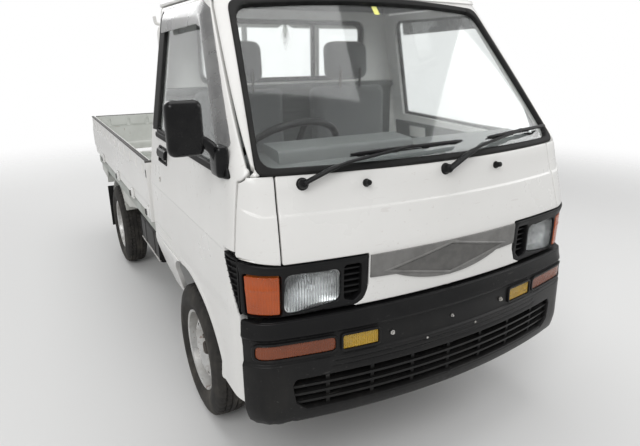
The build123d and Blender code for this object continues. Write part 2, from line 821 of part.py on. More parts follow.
def make_mudguards():
    """Rear wheel guards: an arched sheet over each wheel and the skirts beside it."""
    outer_r, inner_r = 318, 312
    ring = Cylinder(outer_r, 150) - Cylinder(inner_r, 150)
    arch = Pos(575, REAR_AXLE_Y, WHEEL_Z) * Rot(0, 90, 0) * ring
    arch &= block(500, 650, 650, 1350, 440, 597)
    front = across([(180, 611), (180, 600), (462, 536), (642, 536), (680, 611)], 656, 668)
    rear = across([(1598, 611), (1598, 560), (1400, 536), (1358, 536), (1320, 611)], 656, 668)
    front_leg = block(500, 668, 636, 642, 500, 596)
    rear_leg = block(500, 668, 1358, 1364, 500, 596)
    return both(together(arch, front.fuse(front_leg), rear.fuse(rear_leg)))


def make_mud_flaps():
    """Four rubber flaps behind the wheels."""
    front = block(472, 588, -556, -550, 170, 400)
    rear = block(505, 675, 1368, 1374, 160, 470)
    return both(together(front, rear))


def make_fuel_tank():
    """The fuel tank on the right, under the bed's front end."""
    tank = Box(230, 400, 150)
    tank = Pos(-490, -70, 515) * chamfer(tank.edges(), 18)
    seam = block(-612, -370, -276, 136, 452, 456)
    return tank + seam


def make_battery_box():
    """The battery tray on the left."""
    case = block(400, 560, -240, 0, 430, 590)
    tray = block(390, 572, -250, 10, 422, 430)
    return case + tray


def make_engine():
    """The engine with its gearbox, as one plain block of its real size."""
    return block(-195, 195, -980, -430, 262, 610)


def make_rear_axle():
    """The live axle: tube, differential, drums, stubs and the propeller shaft."""
    tube = rod((-520, REAR_AXLE_Y, WHEEL_Z), (520, REAR_AXLE_Y, WHEEL_Z), 34)
    case = rod((-64, REAR_AXLE_Y, WHEEL_Z), (64, REAR_AXLE_Y, WHEEL_Z), 98)
    nose = rod((0, REAR_AXLE_Y, WHEEL_Z), (0, 830, 290), 48)
    shaft = rod((0, 836, 290), (0, -428, 360), 26)
    axle = tube.fuse(case, nose, shaft)
    for side in (-1, 1):
        drum = rod((side * 512, REAR_AXLE_Y, WHEEL_Z), (side * 566, REAR_AXLE_Y, WHEEL_Z), 112)
        stub = rod((side * 560, REAR_AXLE_Y, WHEEL_Z), (side * 614, REAR_AXLE_Y, WHEEL_Z), STUB_R)
        pad_x = (RAIL_IN_X + RAIL_OUT_X) / 2
        pad = block(side * pad_x - 26, side * pad_x + 26, 960, 1040, 236, 262)
        axle = axle.fuse(drum, stub, pad)
    return axle


def make_springs():
    """Rear leaf springs with their hangers, below the rails."""
    leaf = across(
        [(500, 352), (1500, 352, 1000, 205), (1500, 376), (500, 376, 1000, 232)],
        RAIL_IN_X + 5,
        RAIL_OUT_X - 5,
    )
    hangers = [block(RAIL_IN_X + 10, RAIL_OUT_X - 10, y - 16, y + 16, 356, 505) for y in (506, 1494)]
    return both(leaf.fuse(*hangers))


def make_front_suspension():
    """Lower arms, steering rack and the struts' upper mounts."""
    arm = across([(-925, 150), (-925, 164), (-875, 164), (-875, 150)], 205, 500)
    ball = rod((KINGPIN_X, FRONT_AXLE_Y, 148), (KINGPIN_X, FRONT_AXLE_Y, 165), 24)
    brace = rod((440, -900, 157), (315, -1240, 200), 10)
    pivot = block(205, 240, -940, -860, 150, 320)
    link = block(240, 284, -930, -870, 302, 320)
    top = rod((KINGPIN_X, FRONT_AXLE_Y, 632), (KINGPIN_X, FRONT_AXLE_Y, 650), 60)
    rack = rod((-275, -1110, 250), (275, -1110, 250), 20)
    side = arm.fuse(ball, brace, pivot, link)
    return together(both(side), both(top), rack)


def make_knuckle():
    """The left knuckle: upright with its strut, brake disc shield and the wheel's stub."""
    upright_block = block(KINGPIN_X - 18, KINGPIN_X + 22, -925, -875, 170, 360)
    strut = rod((KINGPIN_X, FRONT_AXLE_Y, 350), (KINGPIN_X, FRONT_AXLE_Y, 626), 22)
    spring = rod((KINGPIN_X, FRONT_AXLE_Y, 440), (KINGPIN_X, FRONT_AXLE_Y, 600), 37)
    drum = rod((KINGPIN_X + 18, FRONT_AXLE_Y, WHEEL_Z), (566, FRONT_AXLE_Y, WHEEL_Z), 100)
    stub = rod((560, FRONT_AXLE_Y, WHEEL_Z), (614, FRONT_AXLE_Y, WHEEL_Z), STUB_R)
    arm = rod((KINGPIN_X, FRONT_AXLE_Y, 200), (KINGPIN_X - 60, FRONT_AXLE_Y + 120, 200), 11)
    return upright_block.fuse(strut, spring, drum, stub, arm)


# Wheel sections as (offset outward from the tyre's middle plane, radius).
TYRE_SECTION = [(-50, 158), (-72.5, 212), (-52, WHEEL_Z), (52, WHEEL_Z), (72.5, 212), (50, 158)]
RIM_SECTION = [
    (-57, 157.6),
    (57, 157.6),
    (57, 151),
    (14, 146),
    (30, 98),
    (18, 62),
    (18, STUB_BORE_R),
    (6, STUB_BORE_R),
    (6, 146),
    (-57, 151),
]


def turned(section, side):
    """A section turned about the wheel's axle, on the left (1) or right (-1) side."""
    solid = revolve(outline(section, lambda x, r: (x, 0, r)), axis=Axis.X)
    return solid if side > 0 else mirrored(solid)


def make_tyre():
    """A tyre on its own axis."""
    return turned(TYRE_SECTION, 1)


def make_rim():
    """A pressed steel wheel: its barrel and its dished disc."""
    return turned(RIM_SECTION, 1)


def make_spare():
    """The spare wheel under the bed, lying flat."""
    return [Pos(0, 1290, 480) * Rot(0, 90, 0) * solid for solid in (make_tyre(), make_rim())]


def write(node, shape):
    """Write one node, as its solid or as a set of solids."""
    solids = shape.solids()
    whole = solids[0] if len(solids) == 1 else Compound(children=list(solids))
    export_step(whole, f"parts/{node}.step")


def main():
    """Build and write every node."""
    write("chassis_frame", make_chassis())
    write("cab_floor", make_cab_floor())
    write("cab_shell", make_cab_shell())
    write("front_panels", make_front_panels())
    write("cab_glass", make_cab_glass())
    write("window_rubbers", make_window_rubbers())
    write("lamp_bezels", make_lamp_bezels())
    write("headlamps", make_headlamps())
    write("amber_lamps", make_amber_lamps())
    write("fog_lamps", make_fog_lamps())
    write("front_bumper", make_bumper())
    write("garnish_bar", make_garnish())
    write("wipers", make_wipers())
    write("seats", make_seats())
    write("dashboard", make_dashboard())
    write("cab_controls", make_controls())
    write("steering_wheel", make_steering_wheel())
    write("radiator", make_radiator())
    write("bed_floor", make_bed_floor())
    write("headboard", make_headboard())
    write("tail_panel", make_tail_panel())
    write("tail_lamps", make_tail_lamps())
    write("mudguards", make_mudguards())
    write("mud_flaps", make_mud_flaps())
    write("fuel_tank", make_fuel_tank())
    write("battery_box", make_battery_box())
    write("engine_block", make_engine())
    write("rear_axle", make_rear_axle())
    write("leaf_springs", make_springs())
    write("front_suspension", make_front_suspension())
    write("spare_wheel", Compound(children=make_spare()))
    write("tail_gate", make_tail_gate())

    door, glass, fittings = make_door(), make_door_glass(), make_door_fittings()
    gate, knuckle = make_side_gate(), make_knuckle()
    write("door_left", door)
    write("door_left_glass", glass)
    write("door_left_fittings", fittings)
    write("door_right", mirrored(door))
    write("door_right_glass", mirrored(glass))
    write("door_right_fittings", together(mirrored(fittings), make_mirror()))
    write("side_gate_left", gate)
    write("side_gate_right", mirrored(gate))
    write("knuckle_left", knuckle)
    write("knuckle_right", mirrored(knuckle))

    tyre, rim = make_tyre(), make_rim()
    for end, y in (("front", FRONT_AXLE_Y), ("rear", REAR_AXLE_Y)):
        for side, sign in (("left", 1), ("right", -1)):
            place = Pos(sign * WHEEL_X, y, WHEEL_Z)
            for piece, shape in (("tyre", tyre), ("rim", rim)):
                turned_shape = shape if sign > 0 else mirrored(shape)
                write(f"{piece}_{end}_{side}", place * turned_shape)


main()
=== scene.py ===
"""A used white kei truck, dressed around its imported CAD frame.

The frame faces -Y and its left side is +X. Lengths are in metres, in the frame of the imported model.
"""

import logging
import math
from dataclasses import dataclass
from enum import Enum
from typing import Callable, Iterable, NamedTuple, Optional, Sequence

import bmesh
import bpy
import numpy as np
from mathutils import Matrix, Vector
from mathutils.geometry import delaunay_2d_cdt


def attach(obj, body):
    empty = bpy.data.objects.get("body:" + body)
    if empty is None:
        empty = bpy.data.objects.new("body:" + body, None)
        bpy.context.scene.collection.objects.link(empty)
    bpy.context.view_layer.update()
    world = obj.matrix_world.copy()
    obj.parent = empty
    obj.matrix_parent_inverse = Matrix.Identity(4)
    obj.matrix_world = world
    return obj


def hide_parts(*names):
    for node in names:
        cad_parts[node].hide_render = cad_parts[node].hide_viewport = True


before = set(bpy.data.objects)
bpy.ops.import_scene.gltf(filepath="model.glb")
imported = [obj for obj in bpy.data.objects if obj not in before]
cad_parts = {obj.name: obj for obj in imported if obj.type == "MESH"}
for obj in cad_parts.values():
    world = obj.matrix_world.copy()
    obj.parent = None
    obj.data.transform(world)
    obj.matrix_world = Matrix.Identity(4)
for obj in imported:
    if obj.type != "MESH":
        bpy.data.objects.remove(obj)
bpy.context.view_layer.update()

LOG = logging.getLogger("kei_truck")

Point2 = tuple[float, float]
Steps = Sequence[tuple[float, ...]]
Placer = Callable[[float, float], Vector]
PatternPlace = Callable[[float, float], Point2]

TAIL_Y = 1.6475
HALF_WIDTH = 0.6975
FRONT_AXLE_Y = -0.9
REAR_AXLE_Y = 1.0
WHEEL_Z = 0.2725
WHEEL_X = 0.6025
SEAM = 0.005
HALF_SEAM = SEAM / 2
REAR_LIGHT = (0.430, 1.290, 1.570)
"""Half width, low z and top z of the rear window."""
CHASSIS = "chassis"
"""The CAD body of everything that has no joint."""
STEERING = "steering_wheel"
"""The CAD body that turns with the steering wheel."""


class Side(Enum):
    """The truck's two sides, with the sign of X on each."""

    LEFT = 1
    RIGHT = -1

    @property
    def word(self) -> str:
        """The side's name as it stands in node and body names."""
        return self.name.lower()


# ---- Shader effects that several finishes share ----


class TreeWriter:
    """Adds nodes and links to a node tree."""

    def __init__(self, tree: bpy.types.NodeTree) -> None:
        """Takes the tree to write to."""
        self.tree = tree

    def node(self, kind: str, **settings: object) -> bpy.types.Node:
        """Adds one node to the tree.

        Args:
            kind: The node's type name.
            settings: Properties to set on it.

        Returns:
            The new node.
        """
        made = self.tree.nodes.new(kind)
        for key, value in settings.items():
            setattr(made, key, value)
        return made

    def wire(self, source: bpy.types.NodeSocket, target: bpy.types.NodeSocket) -> None:
        """Links two sockets."""
        self.tree.links.new(source, target)

    def sums(self, operation: str, a: object, b: object = None, clamp: bool = False) -> bpy.types.NodeSocket:
        """A Math node on sockets or numbers.

        Args:
            operation: The Math node's operation.
            a: A socket or a number.
            b: A socket or a number.
            clamp: Whether to keep the result within 0 and 1.

        Returns:
            The result's socket.
        """
        made = self.node("ShaderNodeMath", operation=operation, use_clamp=clamp)
        for place, value in enumerate((a, b)):
            if value is None:
                continue
            if isinstance(value, (int, float)):
                made.inputs[place].default_value = value
            else:
                self.wire(value, made.inputs[place])
        return made.outputs[0]


class Effect(TreeWriter):
    """A shader node group with named inputs and outputs, built once and placed where a finish needs it."""

    name: str = "effect"
    inputs: dict[str, float] = {}
    outputs: tuple[str, ...] = ("Mask",)

    def __init__(self) -> None:
        """Builds the group's tree."""
        super().__init__(bpy.data.node_groups.new(self.name, "ShaderNodeTree"))
        for label, value in self.inputs.items():
            socket = self.tree.interface.new_socket(label, in_out="INPUT", socket_type="NodeSocketFloat")
            socket.default_value = value
        for label in self.outputs:
            self.tree.interface.new_socket(label, in_out="OUTPUT", socket_type="NodeSocketFloat")
        self.entry = self.tree.nodes.new("NodeGroupInput")
        self.exit = self.tree.nodes.new("NodeGroupOutput")
        self.build()

    def build(self) -> None:
        """Fills the tree. Each effect has its own."""
        raise NotImplementedError

    def spot(self, stretch: Sequence[float] = (1, 1, 1)) -> bpy.types.NodeSocket:
        """The place on the piece in the truck's frame, stretched along the axes.

        Args:
            stretch: A factor for each axis.

        Returns:
            A vector socket.
        """
        coordinates = self.node("ShaderNodeTexCoord")
        mapping = self.node("ShaderNodeMapping")
        mapping.inputs["Scale"].default_value = stretch
        self.wire(coordinates.outputs["Object"], mapping.inputs["Vector"])
        return mapping.outputs["Vector"]

    def noise(
        self, vector: bpy.types.NodeSocket, scale: str, detail: float = 5, rough: float = 0.6
    ) -> bpy.types.NodeSocket:
        """A noise whose scale is one of the group's inputs.

        Args:
            vector: The place to read it at.
            scale: The input's label.
            detail: Octaves.
            rough: How strong the fine octaves are.

        Returns:
            The noise's value socket.
        """
        noise = self.node("ShaderNodeTexNoise")
        noise.inputs["Detail"].default_value = detail
        noise.inputs["Roughness"].default_value = rough
        self.wire(vector, noise.inputs["Vector"])
        self.wire(self.entry.outputs[scale], noise.inputs["Scale"])
        return noise.outputs[0]

    def ramp(self, value: bpy.types.NodeSocket, low: float, high: float) -> bpy.types.NodeSocket:
        """A smooth rise from 0 to 1 between two values."""
        made = self.node("ShaderNodeMapRange", interpolation_type="SMOOTHSTEP")
        made.inputs["From Min"].default_value = low
        made.inputs["From Max"].default_value = high
        self.wire(value, made.inputs["Value"])
        return made.outputs["Result"]

    def give(self, value: bpy.types.NodeSocket, label: str = "Mask", clamp: bool = False) -> None:
        """Sends a value, times the group's Amount, to an output."""
        self.wire(self.sums("MULTIPLY", value, self.entry.outputs["Amount"], clamp), self.exit.inputs[label])


class Patches(Effect):
    """Cloudy patches, for uneven colour and gloss."""

    name = "patches"
    inputs = {"Scale": 3.0, "Amount": 1.0}

    def build(self) -> None:
        """Low noise, widened around its middle."""
        value = self.ramp(self.noise(self.spot(), "Scale"), 0.35, 0.68)
        self.give(value)


class RoadDirt(Effect):
    """Splashed dirt that thickens towards the ground and runs down in streaks."""

    name = "road_dirt"
    inputs = {"Top": 0.9, "Bottom": 0.25, "Amount": 1.0, "Scale": 9.0}

    def build(self) -> None:
        """Height times streaky noise."""
        places = self.node("ShaderNodeSeparateXYZ")
        self.wire(self.spot(), places.inputs[0])
        rise = self.node("ShaderNodeMapRange", clamp=True)
        self.wire(places.outputs["Z"], rise.inputs["Value"])
        self.wire(self.entry.outputs["Top"], rise.inputs["From Min"])
        self.wire(self.entry.outputs["Bottom"], rise.inputs["From Max"])
        cloud = self.noise(self.spot(), "Scale", 6, 0.65)
        streak = self.noise(self.spot((3, 3, 0.25)), "Scale", 4, 0.6)
        both = self.sums("MULTIPLY", self.ramp(cloud, 0.3, 0.75), self.ramp(streak, 0.25, 0.8))
        lifted = self.sums("ADD", self.sums("MULTIPLY", both, 1.1), 0.18)
        held = self.sums("MULTIPLY", lifted, rise.outputs["Result"])
        self.give(held, clamp=True)


class Chips(Effect):
    """Small chips and scratches where the coat is gone."""

    name = "chips"
    inputs = {"Scale": 60.0, "Amount": 0.5}

    def build(self) -> None:
        """Fine noise kept only where a broad noise is high, with long scratches across."""
        fine = self.noise(self.spot(), "Scale", 3, 0.5)
        broad = self.node("ShaderNodeTexNoise")
        broad.inputs["Scale"].default_value = 4
        self.wire(self.spot(), broad.inputs["Vector"])
        scratch = self.node("ShaderNodeTexNoise")
        scratch.inputs["Scale"].default_value = 45
        self.wire(self.spot((0.12, 1, 1)), scratch.inputs["Vector"])
        marks = self.sums("MAXIMUM", self.ramp(fine, 0.66, 0.7), self.ramp(scratch.outputs[0], 0.69, 0.71))
        kept = self.sums("MULTIPLY", marks, self.ramp(broad.outputs[0], 0.42, 0.62))
        self.give(kept, clamp=True)


class Grain(Effect):
    """The fine relief of moulded plastic, cast metal or rubber."""

    name = "grain"
    inputs = {"Scale": 420.0, "Amount": 1.0}
    outputs = ("Height",)

    def build(self) -> None:
        """Pebbled cells over a fine noise."""
        cells = self.node("ShaderNodeTexVoronoi", feature="SMOOTH_F1")
        self.wire(self.spot(), cells.inputs["Vector"])
        self.wire(self.entry.outputs["Scale"], cells.inputs["Scale"])
        fine = self.noise(self.spot(), "Scale", 3, 0.5)
        both = self.sums("ADD", self.sums("MULTIPLY", cells.outputs["Distance"], 0.7), fine)
        self.give(both, "Height")


class Weave(Effect):
    """A plain woven cloth: threads over and under each other."""

    name = "weave"
    inputs = {"Scale": 260.0, "Amount": 1.0}
    outputs = ("Height", "Mask")

    def build(self) -> None:
        """Two crossed waves."""
        waves = []
        for axis in ("X", "Z"):
            wave = self.node("ShaderNodeTexWave", bands_direction=axis)
            wave.inputs["Distortion"].default_value = 0.6
            self.wire(self.spot(), wave.inputs["Vector"])
            self.wire(self.entry.outputs["Scale"], wave.inputs["Scale"])
            waves.append(wave.outputs["Fac"])
        both = self.sums("MULTIPLY", waves[0], waves[1])
        self.give(both, "Height")
        self.wire(both, self.exit.inputs["Mask"])


class Flutes(Effect):
    """Upright ribs pressed into a lamp's glass, with a few level ones."""

    name = "flutes"
    inputs = {"Scale": 60.0, "Amount": 1.0}
    outputs = ("Height", "Mask")

    def build(self) -> None:
        """Rounded waves along X, stepped along Z."""
        upright = self.node("ShaderNodeTexWave", bands_direction="X")
        level = self.node("ShaderNodeTexWave", bands_direction="Z")
        for wave, factor in ((upright, 1.0), (level, 0.28)):
            self.wire(self.spot(), wave.inputs["Vector"])
            self.wire(self.sums("MULTIPLY", self.entry.outputs["Scale"], factor), wave.inputs["Scale"])
        both = self.sums("ADD", upright.outputs["Fac"], self.sums("MULTIPLY", level.outputs["Fac"], 0.5))
        self.give(both, "Height")
        self.wire(upright.outputs["Fac"], self.exit.inputs["Mask"])


class FarFade(Effect):
    """1 near the truck, falling to 0 far away, so that a floor ends in the white behind it."""

    name = "far_fade"
    inputs = {"Near": 3.4, "Far": 7.0}

    def build(self) -> None:
        """The distance from the middle, turned round."""
        flat = self.node("ShaderNodeVectorMath", operation="MULTIPLY")
        flat.inputs[1].default_value = (1, 1, 0)
        self.wire(self.spot(), flat.inputs[0])
        far = self.node("ShaderNodeVectorMath", operation="LENGTH")
        self.wire(flat.outputs[0], far.inputs[0])
        fall = self.node("ShaderNodeMapRange", interpolation_type="SMOOTHSTEP")
        self.wire(far.outputs["Value"], fall.inputs["Value"])
        self.wire(self.entry.outputs["Near"], fall.inputs["From Min"])
        self.wire(self.entry.outputs["Far"], fall.inputs["From Max"])
        self.wire(self.sums("SUBTRACT", 1, fall.outputs["Result"], True), self.exit.inputs["Mask"])


class Effects:
    """The shared effects, each built the first time that it is asked for."""

    made: dict[str, Effect] = {}

    @classmethod
    def tree(cls, kind: type[Effect]) -> bpy.types.NodeTree:
        """The tree of an effect.

        Args:
            kind: The effect's class.

        Returns:
            Its node tree.
        """
        if kind.name not in cls.made:
            cls.made[kind.name] = kind()
        return cls.made[kind.name].tree


# ---- Finishes ----

COAT_ROUGHNESS = 0.12


@dataclass(frozen=True)
class Layer:
    """One effect laid over a finish.

    Attributes:
        effect: The shared effect that gives the mask.
        colour: What shows where the mask is 1.
        rough: Roughness there.
        values: The effect's input values, in the order of its inputs.
    """

    effect: type[Effect]
    colour: tuple[float, float, float]
    rough: float
    values: tuple[float, ...] = ()


@dataclass(frozen=True)
class Relief:
    """The fine bump of a finish.

    Attributes:
        effect: The shared effect that gives the height.
        values: Its input values, in the order of its inputs.
        depth: The bump's distance in metres.
    """

    effect: type[Effect]
    values: tuple[float, ...]
    depth: float = 0.0004


@dataclass(frozen=True)
class Finish:
    """A surface: one Principled shader with its layers of wear and its relief.

    Attributes:
        name: The material's name.
        slot: The record's material slot.
        colour: Base colour.
        rough: Roughness.
        metallic: Metallic.
        coat: Weight of the clear coat.
        transmission: Transmission weight, for glass and lenses.
        ior: Index of refraction.
        sheen: Sheen weight, for cloth.
        layers: Effects over the base, in order.
        relief: The bump, if any.
        clears_shadow: Whether light passes straight through for shadows.
    """

    name: str
    slot: str
    colour: tuple[float, float, float]
    rough: float
    metallic: float = 0.0
    coat: float = 0.0
    transmission: float = 0.0
    ior: float = 1.45
    sheen: float = 0.0
    layers: tuple[Layer, ...] = ()
    relief: Optional[Relief] = None
    clears_shadow: bool = False

    def material(self) -> bpy.types.Material:
        """The Blender material, built once."""
        known = bpy.data.materials.get(self.name)
        if known:
            return known
        made = bpy.data.materials.new(self.name)
        made.use_nodes = True
        nodes, links = made.node_tree.nodes, made.node_tree.links
        shader = nodes["Principled BSDF"]
        for label, value in (
            ("Metallic", self.metallic), ("Coat Weight", self.coat), ("Coat Roughness", COAT_ROUGHNESS),
            ("Transmission Weight", self.transmission), ("IOR", self.ior), ("Sheen Weight", self.sheen),
            ("Base Color", (*self.colour, 1)), ("Roughness", self.rough),
        ):
            shader.inputs[label].default_value = value
        colour: Optional[bpy.types.NodeSocket] = None
        rough: Optional[bpy.types.NodeSocket] = None
        for layer in self.layers:
            group = self._group(nodes, layer.effect, layer.values)
            mix = nodes.new("ShaderNodeMix")
            mix.data_type = "RGBA"
            mix.inputs["A"].default_value = (*self.colour, 1)
            mix.inputs["B"].default_value = (*layer.colour, 1)
            blend = nodes.new("ShaderNodeMix")
            blend.inputs["A"].default_value = self.rough
            blend.inputs["B"].default_value = layer.rough
            for node, source in ((mix, colour), (blend, rough)):
                links.new(group.outputs["Mask"], node.inputs["Factor"])
                if source:
                    links.new(source, node.inputs["A"])
            colour = mix.outputs["Result"]
            rough = blend.outputs["Result"]
        if colour:
            links.new(colour, shader.inputs["Base Color"])
            links.new(rough, shader.inputs["Roughness"])
        if self.relief:
            group = self._group(nodes, self.relief.effect, self.relief.values)
            bump = nodes.new("ShaderNodeBump")
            bump.inputs["Distance"].default_value = self.relief.depth
            bump.inputs["Strength"].default_value = 1
            links.new(group.outputs["Height"], bump.inputs["Height"])
            links.new(bump.outputs["Normal"], shader.inputs["Normal"])
        if self.clears_shadow:
            self._clear_shadow(nodes, links, shader)
        return made

    def _group(self, nodes: bpy.types.Nodes, effect: type[Effect], values: Iterable[float]) -> bpy.types.Node:
        """Places an effect in the material."""
        group = nodes.new("ShaderNodeGroup")
        group.node_tree = Effects.tree(effect)
        for label, value in zip(effect.inputs, values):
            group.inputs[label].default_value = value
        return group

    def _clear_shadow(self, nodes: bpy.types.Nodes, links: bpy.types.NodeLinks, shader: bpy.types.Node) -> None:
        """Lets light through the glass unbent, so that what is behind it is lit."""
        path = nodes.new("ShaderNodeLightPath")
        clear = nodes.new("ShaderNodeBsdfTransparent")
        clear.inputs["Color"].default_value = (*self.colour, 1)
        mix = nodes.new("ShaderNodeMixShader")
        links.new(path.outputs["Is Shadow Ray"], mix.inputs["Fac"])
        links.new(shader.outputs["BSDF"], mix.inputs[1])
        links.new(clear.outputs["BSDF"], mix.inputs[2])
        links.new(mix.outputs["Shader"], nodes["Material Output"].inputs["Surface"])


EARTH = (0.23, 0.18, 0.13)
DUST = (0.42, 0.38, 0.32)
RUST = (0.18, 0.06, 0.022)

BODY_PAINT = Finish(
    "body_paint", "white_paint", (0.79, 0.785, 0.765), 0.27, coat=0.35,
    layers=(
        Layer(Patches, (0.745, 0.737, 0.715), 0.34, (2.2, 0.6)),
        Layer(RoadDirt, EARTH, 0.7, (0.80, -0.3, 0.22)),
        Layer(Chips, RUST, 0.8, (85.0, 0.10)),
    ),
    relief=Relief(Grain, (700.0, 0.12), 0.0002),
)
BED_PAINT = Finish(
    "bed_paint", "white_paint", (0.62, 0.635, 0.605), 0.46, coat=0.1,
    layers=(
        Layer(Patches, (0.52, 0.53, 0.50), 0.58, (5.0, 0.7)),
        Layer(RoadDirt, EARTH, 0.8, (0.95, 0.3, 0.35)),
        Layer(Chips, RUST, 0.85, (55.0, 0.5)),
    ),
    relief=Relief(Grain, (300.0, 0.3)),
)
CAB_FLOOR_PAINT = Finish(
    "cab_floor_paint", "white_paint", (0.16, 0.165, 0.16), 0.7,
    layers=(Layer(Patches, (0.10, 0.095, 0.085), 0.85, (6.0, 0.8)),),
    relief=Relief(Grain, (220.0, 0.7)),
)
LOAD_FLOOR = Finish(
    "load_floor", "white_paint", (0.47, 0.50, 0.47), 0.55,
    layers=(
        Layer(Patches, (0.33, 0.33, 0.30), 0.7, (6.0, 0.7)),
        Layer(Chips, RUST, 0.9, (40.0, 0.7)),
    ),
    relief=Relief(Grain, (200.0, 0.6)),
)
WORN_RAIL = Finish(
    "worn_rail", "black_steel", (0.055, 0.055, 0.055), 0.5, ior=1.28,
    layers=(
        Layer(Patches, (0.12, 0.11, 0.10), 0.65, (14.0, 0.6)),
        Layer(Chips, (0.42, 0.41, 0.39), 0.5, (70.0, 0.4)),
    ),
    relief=Relief(Grain, (260.0, 0.5)),
)
CHASSIS_BLACK = Finish(
    "chassis_black", "black_steel", (0.024, 0.024, 0.025), 0.55, ior=1.28,
    layers=(
        Layer(Patches, (0.07, 0.05, 0.036), 0.85, (7.0, 0.7)),
        Layer(RoadDirt, EARTH, 0.9, (0.75, 0.0, 0.45)),
    ),
    relief=Relief(Grain, (240.0, 0.8)),
)
TANK_BLACK = Finish(
    "tank_black", "black_steel", (0.010, 0.010, 0.0105), 0.45, ior=1.3,
    layers=(Layer(Patches, (0.026, 0.024, 0.022), 0.6, (8.0, 0.7)),),
    relief=Relief(Grain, (240.0, 0.5)),
)
BUMPER_PLASTIC = Finish(
    "bumper_plastic", "black_plastic", (0.006, 0.006, 0.0065), 0.34, ior=1.28,
    layers=(
        Layer(Patches, (0.012, 0.012, 0.012), 0.46, (4.0, 0.7)),
        Layer(RoadDirt, DUST, 0.8, (0.75, 0.1, 0.04)),
        Layer(Chips, (0.20, 0.19, 0.18), 0.8, (90.0, 0.15)),
    ),
    relief=Relief(Grain, (380.0, 0.8), 0.0005),
)
TRIM_BLACK = Finish(
    "trim_black", "black_plastic", (0.006, 0.006, 0.0065), 0.38, ior=1.28,
    layers=(Layer(Patches, (0.012, 0.012, 0.012), 0.5, (9.0, 0.6)),),
    relief=Relief(Grain, (460.0, 0.6)),
)
GLOSS_BLACK = Finish(
    "gloss_black", "black_plastic", (0.005, 0.005, 0.0055), 0.2, ior=1.32,
    layers=(Layer(Patches, (0.011, 0.011, 0.011), 0.34, (16.0, 0.6)),),
)
RUBBER = Finish(
    "seal_rubber", "black_rubber", (0.008, 0.008, 0.008), 0.55, ior=1.28,
    layers=(Layer(Patches, (0.02, 0.0195, 0.019), 0.65, (12.0, 0.7)),),
    relief=Relief(Grain, (300.0, 0.5)),
)
TYRE = Finish(
    "tyre_rubber_used", "tyre_rubber", (0.011, 0.011, 0.012), 0.66, ior=1.28,
    layers=(
        Layer(Patches, (0.028, 0.027, 0.025), 0.85, (10.0, 0.7)),
        Layer(RoadDirt, DUST, 0.95, (0.6, -0.15, 0.2)),
    ),
    relief=Relief(Grain, (220.0, 0.5)),
)
WHEEL_SILVER = Finish(
    "wheel_silver", "wheel_paint", (0.62, 0.62, 0.61), 0.27, metallic=0.8, coat=0.2,
    layers=(
        Layer(Patches, (0.38, 0.365, 0.34), 0.55, (11.0, 0.7)),
        Layer(Chips, RUST, 0.9, (70.0, 0.5)),
    ),
    relief=Relief(Grain, (240.0, 0.4)),
)
BRIGHT_STEEL = Finish(
    "bright_steel", "bare_aluminium", (0.62, 0.61, 0.59), 0.3, metallic=1.0,
    layers=(Layer(Patches, (0.35, 0.32, 0.28), 0.6, (20.0, 0.6)),),
)
CAST_METAL = Finish(
    "cast_metal", "bare_aluminium", (0.30, 0.30, 0.29), 0.55, metallic=0.7,
    layers=(Layer(Patches, (0.12, 0.09, 0.065), 0.85, (8.0, 0.8)),),
    relief=Relief(Grain, (200.0, 1.0), 0.0008),
)
PLATE_GREY = Finish(
    "garnish_plate", "grey_plastic", (0.185, 0.182, 0.175), 0.42,
    layers=(Layer(Patches, (0.13, 0.127, 0.123), 0.55, (22.0, 0.7)),),
    relief=Relief(Grain, (340.0, 0.5)),
)
FIELD_GREY = Finish(
    "garnish_field", "grey_plastic", (0.095, 0.093, 0.089), 0.5,
    layers=(Layer(Patches, (0.14, 0.136, 0.13), 0.6, (26.0, 0.7)),),
    relief=Relief(Grain, (340.0, 0.5)),
)
DASH_GREY = Finish(
    "dash_grey", "grey_plastic", (0.085, 0.09, 0.09), 0.5,
    layers=(Layer(Patches, (0.12, 0.125, 0.122), 0.58, (3.0, 0.6)),),
    relief=Relief(Grain, (420.0, 0.8)),
)
LINING_GREY = Finish(
    "lining_grey", "grey_plastic", (0.10, 0.108, 0.104), 0.6,
    layers=(Layer(Patches, (0.14, 0.147, 0.143), 0.68, (4.0, 0.6)),),
    relief=Relief(Grain, (320.0, 0.8)),
)
SEAT_CLOTH = Finish(
    "seat_cloth", "grey_cloth", (0.085, 0.09, 0.092), 0.85, sheen=0.3,
    layers=(
        Layer(Weave, (0.15, 0.155, 0.155), 0.9, (240.0,)),
        Layer(Patches, (0.12, 0.125, 0.12), 0.92, (5.0, 0.4)),
    ),
    relief=Relief(Weave, (240.0, 1.0), 0.0006),
)
GLASS = Finish(
    "window_glass", "clear_glass", (0.93, 0.95, 0.945), 0.03, transmission=1.0, clears_shadow=True,
    layers=(Layer(Patches, (0.90, 0.92, 0.915), 0.06, (7.0, 0.6)),),
)
LAMP_GLASS = Finish(
    "lamp_lens", "lamp_glass", (0.93, 0.95, 0.95), 0.06, transmission=1.0, clears_shadow=True,
    relief=Relief(Flutes, (38.0, 1.0), 0.0016),
)
REFLECTOR = Finish(
    "lamp_reflector", "lamp_glass", (0.78, 0.79, 0.80), 0.14, metallic=1.0,
    layers=(Layer(Patches, (0.22, 0.22, 0.22), 0.3, (13.0, 0.85)),),
)
AMBER = Finish(
    "amber_lens", "amber_plastic", (0.56, 0.105, 0.009), 0.18, transmission=0.3, coat=0.3,
    layers=(Layer(Patches, (0.40, 0.075, 0.010), 0.35, (12.0, 0.6)),),
    relief=Relief(Flutes, (46.0, 0.8), 0.0012), clears_shadow=True,
)
AMBER_BACK = Finish(
    "amber_back", "amber_plastic", (0.60, 0.19, 0.035), 0.35,
    layers=(Layer(Patches, (0.40, 0.13, 0.03), 0.5, (10.0, 0.5)),),
)
